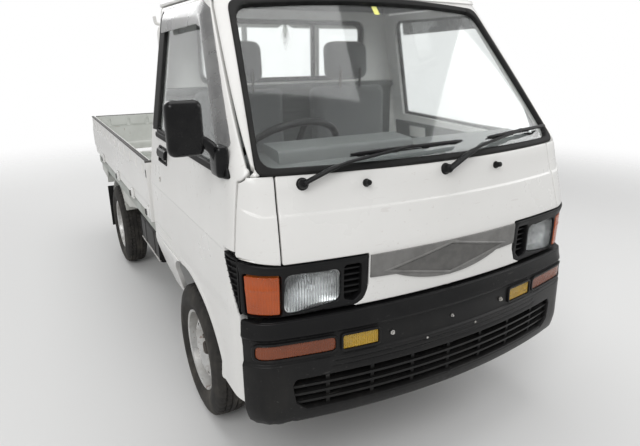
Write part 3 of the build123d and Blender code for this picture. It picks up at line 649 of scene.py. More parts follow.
INDICATOR = Finish(
    "indicator_lens", "amber_plastic", (0.27, 0.055, 0.008), 0.2, transmission=0.3, coat=0.3,
    layers=(Layer(Patches, (0.17, 0.04, 0.010), 0.4, (14.0, 0.6)),),
    relief=Relief(Flutes, (52.0, 0.8), 0.0010), clears_shadow=True,
)
FOG_YELLOW = Finish(
    "fog_lens", "yellow_plastic", (0.70, 0.46, 0.035), 0.16, transmission=0.45, coat=0.3,
    layers=(Layer(Patches, (0.46, 0.30, 0.035), 0.3, (20.0, 0.5)),),
    relief=Relief(Flutes, (52.0, 1.0), 0.0014), clears_shadow=True,
)
FOG_BACK = Finish(
    "fog_back", "yellow_plastic", (0.58, 0.42, 0.08), 0.25, metallic=0.5,
    layers=(Layer(Patches, (0.32, 0.22, 0.05), 0.4, (26.0, 0.7)),),
)
RED_LENS = Finish(
    "red_lens", "red_plastic", (0.5, 0.02, 0.015), 0.18, transmission=0.25, coat=0.3,
    layers=(Layer(Patches, (0.34, 0.02, 0.015), 0.35, (12.0, 0.6)),),
    relief=Relief(Flutes, (46.0, 0.8), 0.0008),
)
SMOKED = Finish(
    "smoked_visor", "black_plastic", (0.24, 0.24, 0.24), 0.22, transmission=0.5, coat=0.4, clears_shadow=True,
    layers=(Layer(Patches, (0.34, 0.34, 0.335), 0.4, (6.0, 0.8)),),
)
MIRROR_GLASS = Finish(
    "mirror_silver", "lamp_glass", (0.85, 0.87, 0.88), 0.04, metallic=1.0,
    layers=(Layer(Patches, (0.7, 0.72, 0.72), 0.12, (30.0, 0.4)),),
)
PAPER = Finish(
    "paper_tag", "yellow_plastic", (0.66, 0.62, 0.12), 0.7,
    layers=(Layer(Patches, (0.55, 0.52, 0.16), 0.75, (60.0, 0.6)),),
)


# ---- Mesh building ----


def trace(steps: Steps, pitch: float = 0.01, close: bool = True) -> list[Point2]:
    """Points along an outline of lines and arcs.

    Args:
        steps: (u, v) for a line to that point, or (u, v, middle_u, middle_v) for an arc through the middle.
        pitch: Largest distance between points.
        close: Whether a line runs back to the start.

    Returns:
        The points in order, without a repeated last one.
    """
    points: list[Point2] = [tuple(steps[0][:2])]
    rows = list(steps[1:]) + ([steps[0][:2]] if close else [])
    for step in rows:
        here = np.array(points[-1])
        there = np.array(step[:2])
        if len(step) == 4:
            points += arc_points(here, np.array(step[2:]), there, pitch)
            continue
        count = max(1, math.ceil(float(np.linalg.norm(there - here)) / pitch))
        for place in range(1, count + 1):
            points.append(tuple(here + (there - here) * place / count))
    if close and math.dist(points[0], points[-1]) < 1e-6:
        points.pop()
    return points


def arc_points(start: np.ndarray, middle: np.ndarray, end: np.ndarray, pitch: float) -> list[Point2]:
    """Points on the arc through three places, after the first.

    Args:
        start: Where the arc starts.
        middle: A place that it passes.
        end: Where it ends.
        pitch: Largest distance between points.

    Returns:
        The points, with the end.
    """
    a, b = middle - start, end - start
    cross = 2 * (a[0] * b[1] - a[1] * b[0])
    if abs(cross) < 1e-10:
        return [tuple(middle), tuple(end)]
    ux = (b[1] * (a @ a) - a[1] * (b @ b)) / cross
    uy = (a[0] * (b @ b) - b[0] * (a @ a)) / cross
    centre = start + np.array([ux, uy])
    radius = math.hypot(ux, uy)
    first = math.atan2(*(start - centre)[::-1])
    last = math.atan2(*(end - centre)[::-1])
    turn = (last - first) % (2 * math.pi)
    if cross < 0:
        turn -= 2 * math.pi
    count = max(3, math.ceil(abs(turn) * radius / pitch))
    return [
        (
            centre[0] + radius * math.cos(first + turn * k / count),
            centre[1] + radius * math.sin(first + turn * k / count)
        )
        for k in range(1, count + 1)
    ]


def rounded(points: Sequence[tuple[float, ...]], radius: float, pitch: float = 0.004) -> list[Point2]:
    """A polygon with its corners rounded.

    Args:
        points: (u, v), or (u, v, radius) where a corner has its own radius.
        radius: The radius of the other corners.
        pitch: Largest distance between points on the curves.

    Returns:
        The outline's points.
    """
    made: list[Point2] = []
    count = len(points)
    for place in range(count):
        before, here, after = (np.array(points[(place + k) % count][:2]) for k in (-1, 0, 1))
        own = points[place][2] if len(points[place]) > 2 else radius
        a, b = before - here, after - here
        la, lb = np.linalg.norm(a), np.linalg.norm(b)
        half = math.acos(max(-1, min(1, float(a @ b) / (la * lb)))) / 2
        reach = min(own / math.tan(half), la * 0.48, lb * 0.48) if own > 0 else 0
        if reach < 1e-5:
            made.append(tuple(here))
            continue
        start, end = here + a / la * reach, here + b / lb * reach
        count_here = max(2, math.ceil(reach * 1.6 / pitch))
        for k in range(count_here + 1):
            t = k / count_here
            made.append(tuple(start * (1 - t) ** 2 + here * 2 * t * (1 - t) + end * t**2))
    return trace(made, max(pitch * 3, 0.01))


def inside(points: np.ndarray, loops: Sequence[np.ndarray]) -> np.ndarray:
    """Which points lie inside an outline and outside its holes."""
    flags = np.zeros(len(points), bool)
    x, y = points[:, 0], points[:, 1]
    for loop in loops:
        for a, b in zip(loop, np.roll(loop, -1, axis=0)):
            spans = (a[1] > y) != (b[1] > y)
            if spans.any():
                reach = (b[0] - a[0]) * (y - a[1]) / (b[1] - a[1] + 1e-15) + a[0]
                flags ^= spans & (x < reach)
    return flags


def distance(points: np.ndarray, loops: Sequence[np.ndarray], closed: bool = True) -> np.ndarray:
    """The distance from each point to the nearest edge of some loops."""
    best = np.full(len(points), 1e9)
    for loop in loops:
        ends = np.roll(loop, -1, axis=0) if closed else loop[1:]
        for a, b in zip(loop if closed else loop[:-1], ends):
            edge = b - a
            share = np.clip(((points - a) @ edge) / (edge @ edge + 1e-15), 0, 1)
            gap = points - (a + share[:, None] * edge)
            best = np.minimum(best, np.hypot(gap[:, 0], gap[:, 1]))
    return best


ROLL_RINGS = (0.2, 0.6, 1.0, 2.0)
"""Where the rings of points along an edge lie, as shares of the roll."""


@dataclass
class Sheet:
    """A pressed or moulded panel, cut from a smooth surface, with rolled edges and a real thickness.

    Attributes:
        surface: Where a place (u, v) of the flat pattern lies on the truck.
        outline: The pattern's edge.
        holes: The edges of its openings.
        thick: How deep the panel is.
        roll: The radius of the rolled edge.
        pitch: The distance between the mesh's points.
        relief: How far the surface stands out at a place, given (u, v, place).
        guides: Lines of the pattern along which the mesh is finer, each with its half width.
        lift: How far the whole surface stands off.
        seam: Says which edges of the pattern are the plane that it is mirrored in.
        flip: Whether the outside is on the other side.
    """

    surface: Placer
    outline: Sequence[Point2]
    holes: Sequence[Sequence[Point2]] = ()
    thick: float = 0.02
    roll: float = 0.003
    pitch: float = 0.022
    relief: Optional[Callable[[float, float, Vector], float]] = None
    guides: Sequence[tuple[Sequence[Point2], float]] = ()
    lift: float = 0.0
    seam: Optional[Callable[[float, float], bool]] = None
    flip: bool = False

    def build(self, bm: Optional[bmesh.types.BMesh] = None) -> bmesh.types.BMesh:
        """Makes the panel's mesh: outside faces with material 0, inside faces with material 1.

        Args:
            bm: A mesh to add to.

        Returns:
            The mesh.
        """
        bm = bm or bmesh.new()
        loops = self._loops()
        points, depths, edges = self._points(loops)
        found = delaunay_2d_cdt([Vector(p) for p in points], edges, [], 0, 1e-7)
        places, _, faces, origins = found[0], found[1], found[2], found[3]
        places = np.array([tuple(p) for p in places])
        middles = np.array([places[list(f)].mean(axis=0) for f in faces])
        kept = [f for f, keep in zip(faces, inside(middles, loops)) if keep]
        depth = [depths[origin[0]] if origin else 0.0 for origin in origins]
        used = sorted({i for f in kept for i in f})
        outer: dict[int, bmesh.types.BMVert] = {}
        inner: dict[int, bmesh.types.BMVert] = {}
        for i in used:
            place, normal = self._place(*places[i])
            outer[i] = bm.verts.new(place - normal * depth[i])
            inner[i] = bm.verts.new(place - normal * self.thick)
        self._faces(bm, kept, outer, inner, places)
        return bm

    def _loops(self) -> list[np.ndarray]:
        """The outline and the holes as arrays, each with the material on its left."""
        loops = []
        for place, loop in enumerate([self.outline, *self.holes]):
            points = np.array(loop, float)
            x, y = points[:, 0], points[:, 1]
            area = float(np.sum(x * np.roll(y, -1) - np.roll(x, -1) * y))
            if (area < 0) == (place == 0):
                points = points[::-1]
            loops.append(self._fine_seam(points))
        return loops

    def _fine_seam(self, loop: np.ndarray) -> np.ndarray:
        """The loop with close points where it runs along the mirror plane, so that relief follows there."""
        if not self.seam:
            return loop
        fine: list[np.ndarray] = []
        for a, b in zip(loop, np.roll(loop, -1, axis=0)):
            fine.append(a)
            count = int(np.hypot(*(b - a)) / 0.004)
            row = [a + (b - a) * k / count for k in range(1, count)]
            if self.seam(*a) and self.seam(*b) and all(self.seam(*p) for p in row):
                fine += row
        return np.array(fine)

    def _points(self, loops: list[np.ndarray]) -> tuple[list[Point2], list[float], list[tuple[int, int]]]:
        """All the pattern's points, how deep each lies for the rolled edge, and the fixed edges."""
        points: list[Point2] = []
        depths: list[float] = []
        edges: list[tuple[int, int]] = []
        rings: list[tuple[np.ndarray, float, float]] = []
        radius = self.roll
        for loop in loops:
            start = len(points)
            points += [tuple(p) for p in loop]
            free = [not (self.seam and self.seam(*p)) for p in loop]
            depths += [radius if f else 0.0 for f in free]
            edges += [(start + i, start + (i + 1) % len(loop)) for i in range(len(loop))]
            ahead = np.roll(loop, -1, axis=0) - loop
            ahead /= np.linalg.norm(ahead, axis=1)[:, None] + 1e-12
            normal = np.stack([-ahead[:, 1], ahead[:, 0]], axis=1)
            normal = normal + np.roll(normal, 1, axis=0)
            normal /= np.linalg.norm(normal, axis=1)[:, None] + 1e-12
            keep = np.array(free)
            for share in ROLL_RINGS:
                reach = radius * share
                down = radius - math.sqrt(max(0.0, radius**2 - max(0.0, radius - reach) ** 2))
                rings.append(((loop + normal * reach)[keep], reach, down))
        for ring, reach, down in rings:
            if not len(ring):
                continue
            good = inside(ring, loops) & (distance(ring, loops) > reach * 0.85)
            points += [tuple(p) for p in ring[good]]
            depths += [down] * int(good.sum())
        extra = self._grid(loops)
        points += extra
        depths += [0.0] * len(extra)
        return points, depths, edges

    def _grid(self, loops: list[np.ndarray]) -> list[Point2]:
        """The points within the panel, with the guides' own."""
        low, high = loops[0].min(axis=0), loops[0].max(axis=0)
        us = np.arange(low[0], high[0], self.pitch)
        vs = np.arange(low[1], high[1], self.pitch)
        grid = np.array([(u + (k % 2) * self.pitch * 0.5, v) for k, v in enumerate(vs) for u in us])
        margin = 2 * self.roll + 0.35 * self.pitch
        grid = grid[inside(grid, loops)]
        grid = grid[distance(grid, loops) > margin]
        extra: list[Point2] = []
        for line, half in self.guides:
            row = np.array(trace([tuple(p) for p in line], self.pitch * 0.7, close=False))
            grid = grid[distance(grid, [row], closed=False) > half * 1.5 + 0.3 * self.pitch]
            ahead = np.gradient(row, axis=0)
            ahead /= np.linalg.norm(ahead, axis=1)[:, None] + 1e-12
            normal = np.stack([-ahead[:, 1], ahead[:, 0]], axis=1)
            for share in (-1.5, -1.0, -0.5, 0.0, 0.5, 1.0, 1.5):
                moved = row + normal * half * share
                good = inside(moved, loops) & (distance(moved, loops) > 2.2 * self.roll + 0.001)
                extra += [tuple(p) for p in moved[good]]
        return [tuple(p) for p in grid] + extra

    def _place(self, u: float, v: float) -> tuple[Vector, Vector]:
        """A point of the finished surface and its outward normal."""
        step = 0.0006
        here = self.surface(u, v)
        along = self.surface(u + step, v) - self.surface(u - step, v)
        up = self.surface(u, v + step) - self.surface(u, v - step)
        normal = along.cross(up).normalized()
        if self.flip:
            normal = -normal
        stand = self.lift + (self.relief(u, v, here) if self.relief else 0.0)
        return here + normal * stand, normal

    def _faces(self, bm: bmesh.types.BMesh, kept: list, outer: dict, inner: dict, places: np.ndarray) -> None:
        """Lays the outside and inside faces and the walls between them."""
        count: dict[tuple[int, int], int] = {}
        for face in kept:
            for a, b in zip(face, (*face[1:], face[0])):
                count[(min(a, b), max(a, b))] = count.get((min(a, b), max(a, b)), 0) + 1
        for face in kept:
            order = list(reversed(face)) if self.flip else list(face)
            front = bm.faces.new([outer[i] for i in order])
            back = bm.faces.new([inner[i] for i in reversed(order)])
            front.material_index, back.material_index = 0, 1
            for a, b in zip(order, order[1:] + order[:1]):
                if count[(min(a, b), max(a, b))] != 1:
                    continue
                if self.seam and self.seam(*places[a]) and self.seam(*places[b]):
                    continue
                bm.faces.new([outer[b], outer[a], inner[a], inner[b]])


def mirror_in(bm: bmesh.types.BMesh, weld: bool = False) -> bmesh.types.BMesh:
    """Adds the mesh's twin on the other side of the truck.

    Args:
        bm: The mesh, changed in place.
        weld: Whether the halves meet on the centre plane and are joined there.

    Returns:
        The same mesh.
    """
    twin = bmesh.ops.duplicate(bm, geom=bm.verts[:] + bm.edges[:] + bm.faces[:])["geom"]
    bmesh.ops.scale(bm, vec=(-1, 1, 1), verts=[g for g in twin if isinstance(g, bmesh.types.BMVert)])
    bmesh.ops.reverse_faces(bm, faces=[g for g in twin if isinstance(g, bmesh.types.BMFace)])
    if weld:
        near = [v for v in bm.verts if abs(v.co.x) < 0.0004]
        for vert in near:
            vert.co.x = 0
        bmesh.ops.remove_doubles(bm, verts=near, dist=0.0004)
    return bm


def flipped(bm: bmesh.types.BMesh) -> bmesh.types.BMesh:
    """Moves the mesh to the other side of the truck."""
    bmesh.ops.scale(bm, vec=(-1, 1, 1), verts=bm.verts[:])
    bmesh.ops.reverse_faces(bm, faces=bm.faces[:])
    return bm


def sided(bm: bmesh.types.BMesh, side: Side) -> bmesh.types.BMesh:
    """The left-hand mesh as it is on a side."""
    return bm if side is Side.LEFT else flipped(bm)


def as_mesh(name: str, bm: bmesh.types.BMesh) -> bpy.types.Mesh:
    """Turns a built mesh into mesh data, and frees it."""
    made = bpy.data.meshes.new(name)
    bm.to_mesh(made)
    bm.free()
    return made


def absorb(bm: bmesh.types.BMesh, part: bmesh.types.BMesh) -> None:
    """Adds a part's faces to a mesh, and frees the part."""
    mesh = as_mesh("part", part)
    bm.from_mesh(mesh)
    bpy.data.meshes.remove(mesh)


def shaded(name: str, bm: bmesh.types.BMesh, finishes: Sequence[Finish], sharp: float) -> bpy.types.Mesh:
    """Turns a built mesh into smooth mesh data with its finishes.

    Args:
        name: The data's name.
        bm: The mesh, freed here.
        finishes: Its finishes, in the order of its faces' material numbers.
        sharp: Edges whose faces turn more than this many degrees stay sharp.

    Returns:
        The data.
    """
    bmesh.ops.recalc_face_normals(bm, faces=bm.faces[:])
    limit = math.radians(sharp)
    for edge in bm.edges:
        edge.smooth = not (len(edge.link_faces) == 2 and edge.calc_face_angle(0) > limit)
    for face in bm.faces:
        face.smooth = True
    made = as_mesh(name, bm)
    for finish in finishes:
        made.materials.append(finish.material())
    return made


def linked(name: str, data: bpy.types.ID) -> bpy.types.Object:
    """A new object in the scene that shows the data."""
    made = bpy.data.objects.new(name, data)
    bpy.context.scene.collection.objects.link(made)
    return made


def facing(at: Vector, out: Vector) -> Matrix:
    """The frame at a place whose local X points outward."""
    return Matrix.Translation(at) @ out.to_track_quat("X", "Z").to_matrix().to_4x4()


def near_line(point: Point2, line: Sequence[Point2]) -> float:
    """The distance from a point to an open line."""
    return float(distance(np.array([point]), [np.array(line)], closed=False)[0])


def eased(table: Sequence[Point2], at: float, offsets: Sequence[float]) -> float:
    """A table's value at a place, evened out over the places about it."""
    places, values = zip(*table)
    return sum(np.interp(at + d, places, values) for d in offsets) / len(offsets)


def piece(
    name: str, bm: bmesh.types.BMesh, finishes: Sequence[Finish], stands_for: Sequence[str] = (), body: str = CHASSIS,
    sharp: float = 34
) -> None:
    """Turns a mesh into a named piece of the truck that rides on a body.

    Args:
        name: The piece's name.
        bm: Its mesh, freed here.
        finishes: Its finishes, in the order of its faces' material numbers.
        stands_for: CAD nodes that it replaces.
        body: The CAD body that it moves with.
        sharp: Edges whose faces turn more than this many degrees stay sharp.
    """
    mesh = shaded(name, bm, finishes, sharp)
    made = linked(name, mesh)
    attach(made, body)
    if stands_for:
        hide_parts(*stands_for)
    LOG.info("%s: %d faces", name, len(mesh.polygons))


def slab(
    bm: bmesh.types.BMesh, low: Sequence[float], high: Sequence[float], soft: float, turn: Optional[Matrix] = None
) -> None:
    """Adds a block with softened edges.

    Args:
        bm: The mesh to add to.
        low: Its lowest corner.
        high: Its highest corner.
        soft: The radius of its edges.
        turn: A turn about its middle.
    """
    low, high = Vector(low), Vector(high)
    spread = Matrix.Diagonal((*(high - low), 1))
    place = Matrix.Translation((low + high) / 2) @ (turn or Matrix.Identity(4)) @ spread
    made = bmesh.ops.create_cube(bm, size=1, matrix=place)["verts"]
    edges = list(dict.fromkeys(e for v in made for e in v.link_edges))
    if soft:
        reach = min(soft, 0.45 * min(high - low))
        bmesh.ops.bevel(bm, geom=edges, offset=reach, segments=2, profile=0.6, affect="EDGES")


def prism(
    bm: bmesh.types.BMesh, points: Sequence[Point2], place: Callable[[float, float, float], Vector], start: float,
    end: float
) -> None:
    """Adds a section drawn out along a straight line.

    Args:
        bm: The mesh to add to.
        points: The section.
        place: Where (a, b, distance) of the section lies.
        start: Where the run starts.
        end: Where it ends.
    """
    first = [bm.verts.new(place(a, b, start)) for a, b in points]
    last = [bm.verts.new(place(a, b, end)) for a, b in points]
    bm.faces.new(first)
    bm.faces.new(last[::-1])
    count = len(points)
    for k in range(count):
        bm.faces.new([first[(k + 1) % count], first[k], last[k], last[(k + 1) % count]])


def along_y(x: float, z: float, y: float) -> Vector:
    """Places a section in (x, z) that runs along Y."""
    return Vector((x, y, z))


def along_x(y: float, z: float, x: float) -> Vector:
    """Places a section in (y, z) that runs along X."""
    return Vector((x, y, z))


def lathe(
    bm: bmesh.types.BMesh, profile: Sequence[Point2], frame_at: Matrix, count: int, number: int = 0,
    closed: bool = False
) -> None:
    """Adds a profile turned about an axis.

    Args:
        bm: The mesh to add to.
        profile: (distance along the axis, radius) pairs.
        frame_at: Carries the axis, local X, into place.
        count: Steps round the axis.
        number: Material number.
        closed: Whether the profile's end joins its start.
    """
    rings = []
    for k in range(count):
        turn = Matrix.Rotation(2 * math.pi * k / count, 4, "X")
        rings.append([bm.verts.new(frame_at @ (turn @ Vector((x, 0, max(r, 1e-5))))) for x, r in profile])
    steps = len(profile) if closed else len(profile) - 1
    for k in range(count):
        a, b = rings[k], rings[(k + 1) % count]
        for i in range(steps):
            j = (i + 1) % len(profile)
            face = bm.faces.new([a[i], b[i], b[j], a[j]])
            face.material_index = number
    bmesh.ops.remove_doubles(bm, verts=[v for ring in rings for v in ring], dist=2e-5)


def tube(
    bm: bmesh.types.BMesh, path: Sequence[Sequence[float]], radius: float | Sequence[float], count: int,
    flat: float = 1.0
) -> None:
    """Adds a bar along a path, with round ends.

    Args:
        bm: The mesh to add to.
        path: The points of its middle line.
        radius: Its radius, or one for each point.
        count: Steps round it.
        flat: Its thickness up and down as a share of its width.
    """
    points = [Vector(p) for p in path]
    sizes = [radius] * len(points) if isinstance(radius, (int, float)) else list(radius)
    side = None
    rings = []
    for k, here in enumerate(points):
        ahead = (points[min(k + 1, len(points) - 1)] - points[max(k - 1, 0)]).normalized()
        base = side if side is not None else (Vector((0, 0, 1)) if abs(ahead.z) < 0.9 else Vector((1, 0, 0)))
        across_ = (base - ahead * base.dot(ahead)).normalized()
        side = across_
        other = ahead.cross(across_)
        ring = []
        for i in range(count):
            angle = 2 * math.pi * i / count
            ring.append(here + across_ * math.cos(angle) * sizes[k] * flat + other * math.sin(angle) * sizes[k])
        rings.append(ring)
    for end, inward in ((0, 1), (-1, -1)):
        middle = points[end]
        cap = [middle + (p - middle) * 0.6 for p in rings[end]]
        away = (points[end] - points[end + inward]).normalized() * sizes[end] * 0.35
        cap = [p + away for p in cap]
        rings.insert(0 if end == 0 else len(rings), cap)
    verts = [[bm.verts.new(p) for p in ring] for ring in rings]
    for a, b in zip(verts, verts[1:]):
        for i in range(count):
            bm.faces.new([a[i], a[(i + 1) % count], b[(i + 1) % count], b[i]])
    bm.faces.new(verts[0][::-1])
    bm.faces.new(verts[-1])


def bend(points: Sequence[Sequence[float]], radius: float, count: int = 6) -> list[Vector]:
    """A path of straight runs with its corners rounded."""
    made = [Vector(points[0])]
    for before, here, after in zip(points, points[1:], points[2:]):
        before, here, after = Vector(before), Vector(here), Vector(after)
        a, b = (before - here), (after - here)
        reach = min(radius, a.length * 0.45, b.length * 0.45)
        start, end = here + a.normalized() * reach, here + b.normalized() * reach
        for k in range(count + 1):
            t = k / count
            made.append(start * (1 - t) ** 2 + here * 2 * t * (1 - t) + end * t**2)
    made.append(Vector(points[-1]))
    return made


def smooth_step(value: float, low: float, high: float) -> float:
    """A smooth rise from 0 to 1 between two values, or a fall where low is the higher."""
    share = min(1.0, max(0.0, (value - low) / (high - low)))
    return share * share * (3 - 2 * share)


# ---- The cab's and the bumper's outer surfaces ----


class Turns(NamedTuple):
    """A level section's numbers, the angle and middle of its corner, and the lengths of its runs."""

    z: float
    front: float
    bow: float
    half: float
    corner: float
    rear: float
    angle: float
    corner_y: float
    bow_run: float
    corner_run: float
    side_run: float
    back: float


@dataclass
class Hull:
    """A smooth outer surface given by level sections: a bowed front, round corners, flat sides and a back.

    Its flat pattern has U, the distance round a section from the front's centre, and V, the height and then the
    distance over the roof.

    Attributes:
        rows: V, z, front y, bow radius, half width, corner radius and rear y of each section.
        soften: How far the creases between the rows are rounded, at V and above.
        rear_radius: The radius of the rear corners.
    """

    rows: Sequence[tuple[float, ...]]
    soften: Sequence[Point2] = ((0, 0.02),)
    rear_radius: float = 0.03

    def __post_init__(self) -> None:
        """Samples the rounded rows once."""
        table = np.array(self.rows)
        self.vs = np.arange(table[0, 0], table[-1, 0], 0.001)
        wide = np.interp(self.vs, [s[0] for s in self.soften], [s[1] for s in self.soften])
        self.table = np.zeros((len(self.vs), 6))
        weights = [1, 2, 3, 4, 3, 2, 1]
        for place, weight in enumerate(weights):
            at = self.vs + wide * (place - 3) / 3
            for column in range(6):
                self.table[:, column] += weight * np.interp(at, table[:, 0], table[:, column + 1]) / sum(weights)

    def section(self, v: float) -> tuple[float, ...]:
        """The section's numbers at V: z, front, bow, half, corner, rear."""
        place = (v - self.vs[0]) / 0.001
        low = int(min(max(place, 0), len(self.vs) - 2))
        share = min(max(place - low, 0.0), 1.0)
        return tuple(self.table[low] * (1 - share) + self.table[low + 1] * share)

    def turns(self, v: float) -> Turns:
        """The section's turning points at V."""
        z, front, bow, half, corner, rear = self.section(v)
        corner = min(corner, half * 0.95)
        reach = half - corner
        angle = math.asin(reach / (bow - corner))
        corner_y = front + bow - (bow - corner) * math.cos(angle)
        bow_run = bow * angle
        corner_run = corner * (math.pi / 2 - angle)
        back = min(self.rear_radius, half * 0.5)
        side_run = rear - back - corner_y
        return Turns(z, front, bow, half, corner, rear, angle, corner_y, bow_run, corner_run, side_run, back)

    def at(self, u: float, v: float) -> Vector:
        """The place of a point of the pattern."""
        z, front, bow, half, corner, rear, angle, corner_y, bow_run, corner_run, side_run, back = self.turns(v)
        if u <= bow_run:
            return Vector((bow * math.sin(u / bow), front + bow - bow * math.cos(u / bow), z))
        u -= bow_run
        if u <= corner_run:
            turn = angle + u / corner
            return Vector((half - corner + corner * math.sin(turn), corner_y - corner * math.cos(turn), z))
        u -= corner_run
        if u <= side_run:
            return Vector((half, corner_y + u, z))
        u -= side_run
        if u <= back * math.pi / 2:
            turn = u / back
            return Vector((half - back + back * math.cos(turn), rear - back + back * math.sin(turn), z))
        return Vector((half - back - (u - back * math.pi / 2), rear, z))

    def normal(self, u: float, v: float) -> Vector:
        """The outward normal at a point of the pattern."""
        step = 0.0008
        along = self.at(u + step, v) - self.at(u - step, v)
        up = self.at(u, v + step) - self.at(u, v - step)
        return along.cross(up).normalized()

    def front(self, x: float, z: float) -> Point2:
        """The pattern's point that is seen at (x, z) from the front."""
        at = self.turns(z)
        if x <= at.bow * math.sin(at.angle):
            return at.bow * math.asin(x / at.bow), z
        turn = math.asin(min(1.0, (x - at.half + at.corner) / at.corner))
        return at.bow_run + at.corner * (turn - at.angle), z

    def side(self, y: float, z: float) -> Point2:
        """The pattern's point that is seen at (y, z) from the side."""
        at = self.turns(z)
        if y >= at.corner_y:
            return at.bow_run + at.corner_run + y - at.corner_y, z
        turn = math.acos(min(1.0, (at.corner_y - y) / at.corner))
        return at.bow_run + at.corner * max(0.0, turn - at.angle), z

    def back(self, x: float, z: float) -> Point2:
        """The pattern's point that is seen at (x, z) from behind."""
        at = self.turns(z)
        return at.bow_run + at.corner_run + at.side_run + at.back * math.pi / 2 + at.half - at.back - x, z

    def fronts(self, points: Iterable[Point2]) -> list[Point2]:
        """Pattern points for a front view's outline."""
        return [self.front(x, z) for x, z in points]

    def sides(self, points: Iterable[Point2]) -> list[Point2]:
        """Pattern points for a side view's outline."""
        return [self.side(y, z) for y, z in points]

    def on_centre(self, u: float, v: float) -> bool:
        """Whether a point of the pattern is on the truck's centre plane."""
        return abs(self.at(u, v).x) < 5e-4


def band(
    bm: bmesh.types.BMesh, hull: Hull, spots: Sequence[Point2], place: PatternPlace, steps: Iterable[float],
    ends: bool = True
) -> None:
    """Adds a closed section carried along a hull.

    Args:
        bm: The mesh to add to.
        hull: The surface.
        spots: For each corner of the section, where it is across the run and how far it stands off the surface.
        place: The pattern's point for a step along the run and a place across it.
        steps: The steps in order along the run.
        ends: Whether the ends are closed.
    """
    rings = []
    for step in steps:
        ring = []
        for across, lift in spots:
            u, v = place(step, across)
            ring.append(bm.verts.new(hull.at(u, v) + hull.normal(u, v) * lift))
        rings.append(ring)
    count = len(spots)
    for a, b in zip(rings, rings[1:]):
        for i in range(count):
            bm.faces.new([a[i], b[i], b[(i + 1) % count], a[(i + 1) % count]])
    if ends:
        bm.faces.new(rings[0])
        bm.faces.new(rings[-1][::-1])


def grown(points: Sequence[Point2], amount: float) -> list[Point2]:
    """A closed outline moved outward, or inward for a negative amount.

    Args:
        points: The outline's points.
        amount: How far each edge moves.

    Returns:
        The moved points, in the same order.
    """
    loop = np.array(points, float)
    area = np.sum(loop[:, 0] * np.roll(loop[:, 1], -1) - np.roll(loop[:, 0], -1) * loop[:, 1])
    ahead = np.roll(loop, -1, axis=0) - loop
    ahead /= np.linalg.norm(ahead, axis=1)[:, None] + 1e-12
    normal = np.stack([ahead[:, 1], -ahead[:, 0]], axis=1) * (1 if area > 0 else -1)
    before = np.roll(normal, 1, axis=0)
    total = normal + before
    reach = np.clip(1 + np.sum(normal * before, axis=1), 0.35, 2)
    return [tuple(p) for p in loop + total / reach[:, None] * amount]


CAB = Hull(
    (
        (0.340, 0.340, -1.600, 3.00, 0.688, 0.150, -0.395),
        (0.690, 0.690, -1.606, 3.00, 0.692, 0.150, -0.395),
        (0.870, 0.870, -1.607, 3.00, 0.693, 0.150, -0.395),
        (1.105, 1.105, -1.552, 2.15, 0.662, 0.078, -0.395),
        (1.600, 1.600, -1.110, 3.10, 0.574, 0.066, -0.395),
        (1.662, 1.660, -1.055, 3.10, 0.556, 0.078, -0.396),
        (1.722, 1.700, -0.985, 3.10, 0.512, 0.092, -0.405),
        (1.815, 1.724, -0.880, 3.10, 0.422, 0.100, -0.430),
        (2.027, 1.736, -0.690, 3.10, 0.210, 0.090, -0.500),
        (2.240, 1.737, -0.600, 3.10, 0.020, 0.010, -0.560),
    ),
    soften=((0, 0.02), (1.08, 0.022), (1.3, 0.01), (1.55, 0.02), (1.7, 0.05), (1.9, 0.1)),
)
BUMPER = Hull(
    (
        (0.338, 0.338, -1.622, 2.50, 0.655, 0.090, -1.38),
        (0.352, 0.352, -1.640, 2.50, 0.686, 0.110, -1.38),
        (0.400, 0.400, -1.6475, 2.50, 0.6975, 0.120, -1.38),
        (0.600, 0.600, -1.641, 2.50, 0.6975, 0.120, -1.38),
        (0.632, 0.632, -1.640, 2.50, 0.6975, 0.120, -1.38),
        (0.655, 0.655, -1.626, 2.70, 0.694, 0.118, -1.38),
        (0.695, 0.695, -1.618, 2.90, 0.693, 0.130, -1.38),
    ),
    soften=((0, 0.008), (0.5, 0.008), (0.6, 0.012)),
)

SCREEN_SIDE = ((0.604, 1.104), (0.520, 1.584))
SCREEN_TOP_Z = 1.606
DOOR_EDGE = trace(
    [
        (-0.425, 0.645), (-0.425, 1.560), (-0.468, 1.604, -0.438, 1.592), (-1.000, 1.604),
        (-1.062, 1.570, -1.037, 1.595), (-1.440, 1.126), (-1.436, 1.088, -1.452, 1.110), (-1.458, 0.892),
        (-1.398, 0.892), (-1.466, 0.692), (-1.497, 0.387), (-1.286, 0.387), (-1.302, 0.456),
        (-1.101, 0.617, -1.218, 0.555), (-0.880, 0.645, -0.990, 0.645),
    ]
)
ARCH = [p for p in DOOR_EDGE if p[1] <= 0.646 and -1.31 < p[0] < -0.86 and p[1] > 0.388]
WINDOW_EDGE = trace(
    [
        (-0.512, 1.114), (-0.508, 1.540), (-0.542, 1.572, -0.518, 1.563), (-0.990, 1.572),
        (-1.040, 1.545, -1.020, 1.566), (-1.368, 1.140), (-1.352, 1.088, -1.377, 1.108),
    ]
)


